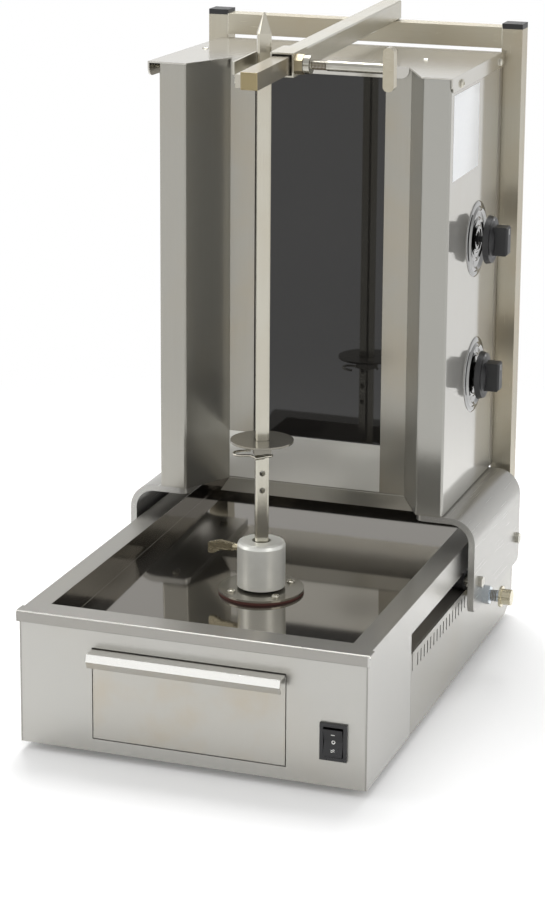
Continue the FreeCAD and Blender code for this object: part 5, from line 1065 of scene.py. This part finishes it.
# Route of the wire pin from the skewer's middle, before it is turned.
PIN_ROUTE = (
    # The free end, wrapped twice across the front of the bar.
    (8.4, -6.5, 1.0), (7.2, -9.4, 0.9), (2.6, -9.7, 1.3), (-2.6, -9.6, -0.9), (-7.2, -9.4, -1.2),
    (-5.4, -9.9, -0.2), (-1.4, -10.2, 0.2),
    # Through the hole and back.
    (0.0, -8.4, 0.0), (0.0, 9.6, 0.0), (0.0, -8.0, 0.0),
    # Round the side of the bar.
    (-1.6, -9.3, 0.0), (-5.5, -9.2, 0.2), (-8.6, -6.5, 0.1), (-9.4, -2.2, 0.0),
    # The long eye.
    (-13.5, -1.6, 0.0), (-20.5, -1.2, 0.0), (-24.6, 1.6, 0.0), (-25.2, 6.0, 0.0), (-23.4, 10.6, 0.0),
    (-18.0, 13.2, 0.0), (-12.0, 13.4, 0.0), (-8.8, 13.2, 0.0),
)


@dataclass
class Skewer:
    """Square skewer with its meat disc and the wire pin under it."""

    finishes: Finishes
    wire: float = 1.15
    pin_turn: float = 25.0

    def build(self) -> None:
        """Dress the skewer and bend its wire pin."""
        dress(self.finishes["steel_bar_drawn"], "spit")
        dress(self.finishes["steel_disc"], "meat_disc")
        dress(self.finishes["steel_wire"], "disc_pin")
        self.pin()

    def pin(self) -> None:
        """Bend the pin: through the skewer, round its side and into a long eye, with its end wrapped."""
        bar = middle_mm("spit")
        centre = Vector((bar.x, bar.y, middle_mm("disc_pin").z))
        turn = Matrix.Rotation(math.radians(self.pin_turn), 3, "Z")
        data = bpy.data.curves.new("pin_route", "CURVE")
        data.dimensions = "3D"
        data.bevel_depth = self.wire * MM
        data.bevel_resolution = 4
        data.resolution_u = 6
        data.use_fill_caps = True
        spline = data.splines.new("NURBS")
        spline.points.add(len(PIN_ROUTE) - 1)
        for point, place in zip(spline.points, PIN_ROUTE):
            point.co = (*((centre + turn @ Vector(place)) * MM), 1.0)
        spline.order_u = 3
        spline.use_endpoint_u = True
        curve = new_object("pin_route", data)
        bpy.context.view_layer.update()
        made = bpy.data.meshes.new_from_object(curve.evaluated_get(bpy.context.evaluated_depsgraph_get()))
        bpy.data.objects.remove(curve)
        mesh = bmesh.new()
        mesh.from_mesh(made)
        keep(mesh, "disc_pin_wire", "disc_pin", self.finishes["steel_wire"],
             replaces=("disc_pin",))


@dataclass
class Carriage:
    """Brackets that slide on the base, with their bolts, guides and index plunger."""

    finishes: Finishes
    head_radius: float = 3.1
    head_tall: float = 3.55
    head_socket: float = 0.5
    head_lift: float = 0.05
    guide_reach: float = 30.0
    barrel_radius: float = 5.3
    thread_long: float = 8.8
    thread_pitch: float = 1.5
    thread_deep: float = 0.2

    def build(self) -> None:
        """Dress the carriage, set its bolt heads and cut the plunger's thread."""
        finish = self.finishes
        dress(finish["steel_plate_bracket"], "bracket_left", "bracket_right")
        dress(finish["steel_bolt"], "tower_bolts", "guide_bolts")
        dress(finish["polyamide_black"], "guide_bushes")
        dress(finish["zinc_blue"], "plunger_body")
        dress(finish["zinc_yellow"], "plunger_pin")
        self.guide_heads()
        self.plunger_thread()

    def guide_heads(self) -> None:
        """Set a socket head on each guide bolt, on the outside of its bracket."""
        mesh = bmesh.new()
        for side, node in ((-1, "bracket_left"), (1, "bracket_right")):
            outside = box_mm(node)[1 if side > 0 else 0].x
            for low, high in loose_parts("guide_bolts"):
                middle = (low + high) / 2
                if (middle.x - outside) * side > -self.guide_reach:
                    seat = Vector((outside + side * self.head_lift, middle.y, middle.z))
                    screw(mesh, self.head_radius, self.head_tall, seat, side * SIDEWAYS, self.head_socket)
        keep(mesh, "guide_bolt_sockets", "tower", self.finishes["steel_screw_bright"])

    def plunger_thread(self) -> None:
        """Wind the thread on the plunger's barrel, between the lock nut and the knob."""
        middle = middle_mm("plunger_pin")
        start = Vector((box_mm("plunger_body")[1].x - self.thread_long, middle.y, middle.z))
        mesh = bmesh.new()
        thread(mesh, self.barrel_radius, self.thread_long, self.thread_pitch, self.thread_deep,
               start, SIDEWAYS)
        keep(mesh, "plunger_thread", "tower", self.finishes["steel_thread_oiled"])


@dataclass
class Tower:
    """Heating tower: side shells, glass in its frame, lid, back panel and elements."""

    finishes: Finishes
    plate_low: tuple[float, float] = (49.5, 472.6)
    plate_high: tuple[float, float] = (137.0, 551.0)
    plate_thick: float = 0.24
    plate_round: float = 0.08
    screw_radius: float = 4.0
    screw_tall: float = 2.3
    screw_seat: float = 2.25
    shank_short: float = 2.2
    rivet_radius: float = 3.0
    rivet_tall: float = 1.1
    rivet_dimple: float = 0.35
    rivets: tuple[tuple[float, float], ...] = ((75.1, 140.8), (-141.0, 133.8))

    def build(self) -> None:
        """Dress the tower and add its plate, rivets and screws."""
        finish = self.finishes
        dress(finish["steel_bright_upright"], "side_shell_left", "tower_floor")
        dress(finish["steel_bright_rolled"], "side_shell_right")
        dress(finish["steel_ground_frame"], "glass_frame")
        dress(finish["glass_ceramic_dark"], "glass_panel")
        dress(finish["fibre_board"], "insulation_board")
        dress(finish["quartz_frosted"], "heating_elements")
        dress(finish["steel_hidden"], "back_panel")
        dress(finish["steel_lid"], "lid")
        dress(finish["steel_screw_bright"], "lid_screws")
        self.plate()
        self.lid_screws()
        self.lid_rivets()

    def plate(self) -> None:
        """Stick the blank rating plate on the right side panel."""
        mesh = bmesh.new()
        (y0, z0), (y1, z1) = self.plate_low, self.plate_high
        outside = box_mm("side_shell_right")[1].x
        block(mesh, Vector((outside + self.plate_thick / 2, (y0 + y1) / 2, (z0 + z1) / 2)),
              Vector((self.plate_thick, y1 - y0, z1 - z0)), round_mm=self.plate_round)
        keep(mesh, "rating_plate_blank", "tower", self.finishes["foil_white"])

    def lid_screws(self) -> None:
        """Set domed screws in the lid's side lips, where the CAD screws are."""
        mesh = bmesh.new()
        lid = middle_mm("lid")
        for low, high in loose_parts("lid_screws"):
            middle = (low + high) / 2
            side = 1 if middle.x > lid.x else -1
            seat = Vector(((high.x if side > 0 else low.x) - side * self.screw_seat, middle.y, middle.z))
            screw(mesh, self.screw_radius, self.screw_tall, seat, side * SIDEWAYS,
                  shank=high.x - low.x - self.shank_short)
        keep(mesh, "lid_screws_domed", "tower", self.finishes["steel_screw_bright"],
             replaces=("lid_screws",))

    def lid_rivets(self) -> None:
        """Set the rivets in the lid's top."""
        mesh = bmesh.new()
        top = box_mm("lid")[1].z
        for x, y in self.rivets:
            screw(mesh, self.rivet_radius, self.rivet_tall, Vector((x, y, top)), UP, self.rivet_dimple)
        keep(mesh, "lid_rivets", "tower", self.finishes["steel_bolt"])


# Height and radius along a bezel: from its collar, over two raised rings, to its turned-down edge.
BEZEL_PROFILE = [
    (0.0, 7.0), (1.6, 7.0), (1.6, 9.5), (2.4, 10.4), (2.4, 12.0), (1.0, 13.2),
    (0.9, 17.4), (1.6, 18.2), (2.3, 19.2), (1.6, 20.2), (0.9, 21.0),
    (0.9, 26.4), (1.8, 27.3), (2.9, 28.7), (2.0, 30.1), (1.2, 31.0),
    (1.0, 34.0), (0.8, 35.5), (0.4, 36.0), (0.0, 36.0),
]


@dataclass
class Controls:
    """Two temperature knobs on their chrome bezels."""

    finishes: Finishes
    ticks: int = 11
    tick_long: float = 3.2
    tick_wide: float = 0.6
    tick_radius: float = 23.7
    tick_height: float = 1.0
    scale_half: float = 150.0
    skirt_tall: float = 5.05
    dot_radius: float = 1.0
    dot_tall: float = 0.4
    dot_lift: float = 0.05
    dot_out: float = 19.2
    line_size: tuple[float, float, float] = (0.1, 1.0, 5.6)
    line_out: float = 9.0
    line_sunk: float = 0.02

    def build(self) -> None:
        """Dress the controls, press the bezels and print the marks."""
        dress(self.finishes["chrome_plated"], "knob_bezels")
        dress(self.finishes["phenolic_dark"], "knob_upper", "knob_lower")
        dress(self.finishes["polyamide_black"], "regulators")
        self.dials()
        for name in ("knob_upper", "knob_lower"):
            self.pointer(name)

    def dials(self) -> None:
        """Press the two bezels and print their scales."""
        bezels = sorted(loose_parts("knob_bezels"), key=lambda box: box[0].z)
        rings, scale = bmesh.new(), bmesh.new()
        for low, high in bezels:
            foot = Vector((low.x, (low.y + high.y) / 2, (low.z + high.z) / 2))
            turned(rings, BEZEL_PROFILE, foot, SIDEWAYS, 64, closed=True)
            for step in range(self.ticks):
                angle = math.radians(self.scale_half * (2 * step / (self.ticks - 1) - 1))
                radial = Vector((0.0, math.sin(angle), math.cos(angle)))
                block(scale, foot + radial * self.tick_radius,
                      Vector((0.0, self.tick_wide, self.tick_long)), Matrix.Rotation(-angle, 4, "X"))
        keep(rings, "dial_bezels", "tower", self.finishes["chrome_plated"],
             replaces=("knob_bezels",))
        for vert in scale.verts:
            vert.co.x = (bezels[0][0].x + self.tick_height) * MM
        keep(scale, "dial_scales", "tower", self.finishes["print_black"], smooth=False)

    def pointer(self, name: str) -> None:
        """Print the dot on a knob's skirt and the line on its grip.

        Args:
            name: the knob's node, which is also its body.
        """
        low, high = box_mm(name)
        skirt = Vector((low.x + self.skirt_tall, (low.y + high.y) / 2, (low.z + high.z) / 2))
        mesh = bmesh.new()
        turned(mesh, [(0.0, 0.0), (0.0, self.dot_radius), (-self.dot_tall, self.dot_radius)],
               skirt + Vector((self.dot_lift, 0.0, self.dot_out)), SIDEWAYS, 20)
        block(mesh, Vector((high.x - self.line_sunk, skirt.y, skirt.z + self.line_out)),
              Vector(self.line_size))
        keep(mesh, f"{name}_pointer", name, self.finishes["print_white"], smooth=False)


@dataclass
class Mast:
    """Square-tube mast behind the tower, with the telescopic arm and its clamp."""

    finishes: Finishes
    bead: float = 0.9
    bead_thick: float = 0.3
    bead_round: float = 0.14
    screw_radius: float = 3.8
    thread_from: float = 65.0
    thread_long: float = 15.6
    thread_pitch: float = 1.25
    thread_deep: float = 0.35

    def build(self) -> None:
        """Dress the mast and the arm, and lay its welds and threads."""
        finish = self.finishes
        dress(finish["steel_tube_across"], "crossbar", "lower_crossbar", "crossbar_spacers")
        dress(finish["steel_tube_upright"], "post_left", "post_right")
        dress(finish["steel_tube_lengthwise"], "arm_outer", "spit_hook")
        dress(finish["steel_tube_inner"], "arm_inner")
        dress(finish["polyamide_black"], "post_caps")
        dress(finish["nut_passivated"], "clamp_nut")
        dress(finish["steel_bolt"], "clamp_screw", "hook_screw")
        dress(finish["nickel_handle"], "clamp_handle")
        self.welds()
        self.clamp_thread()

    def welds(self) -> None:
        """Lay the beads where the crossbars meet the posts."""
        mesh = bmesh.new()
        for bar in ("crossbar", "lower_crossbar"):
            low, high = box_mm(bar)
            for x in (low.x, high.x):
                block(mesh, Vector((x, low.y, (low.z + high.z) / 2)),
                      Vector((self.bead, self.bead_thick, high.z - low.z)), round_mm=self.bead_round)
                block(mesh, Vector((x, (low.y + high.y) / 2, high.z)),
                      Vector((self.bead, high.y - low.y, self.bead_thick)), round_mm=self.bead_round)
        keep(mesh, "mast_welds", "tower", self.finishes["steel_screw_bright"])

    def clamp_thread(self) -> None:
        """Wind the thread on the clamping screw, between its ring and its sleeve."""
        middle = middle_mm("clamp_screw")
        start = Vector((box_mm("clamp_handle")[0].x - self.thread_from, middle.y, middle.z))
        mesh = bmesh.new()
        thread(mesh, self.screw_radius, self.thread_long, self.thread_pitch, self.thread_deep,
               start, SIDEWAYS)
        keep(mesh, "clamp_thread", "clamp", self.finishes["steel_thread_oiled"])


def main() -> None:
    """Dress the grill and build its fine pieces, from the base upwards."""
    Studio().build()
    finishes = Finishes()
    for piece in (Base, Drawer, Switch, Drive, Skewer, Carriage, Tower, Controls, Mast):
        piece(finishes).build()
        log.info("%s ready", piece.__name__)


if __name__ == "__main__":
    main()
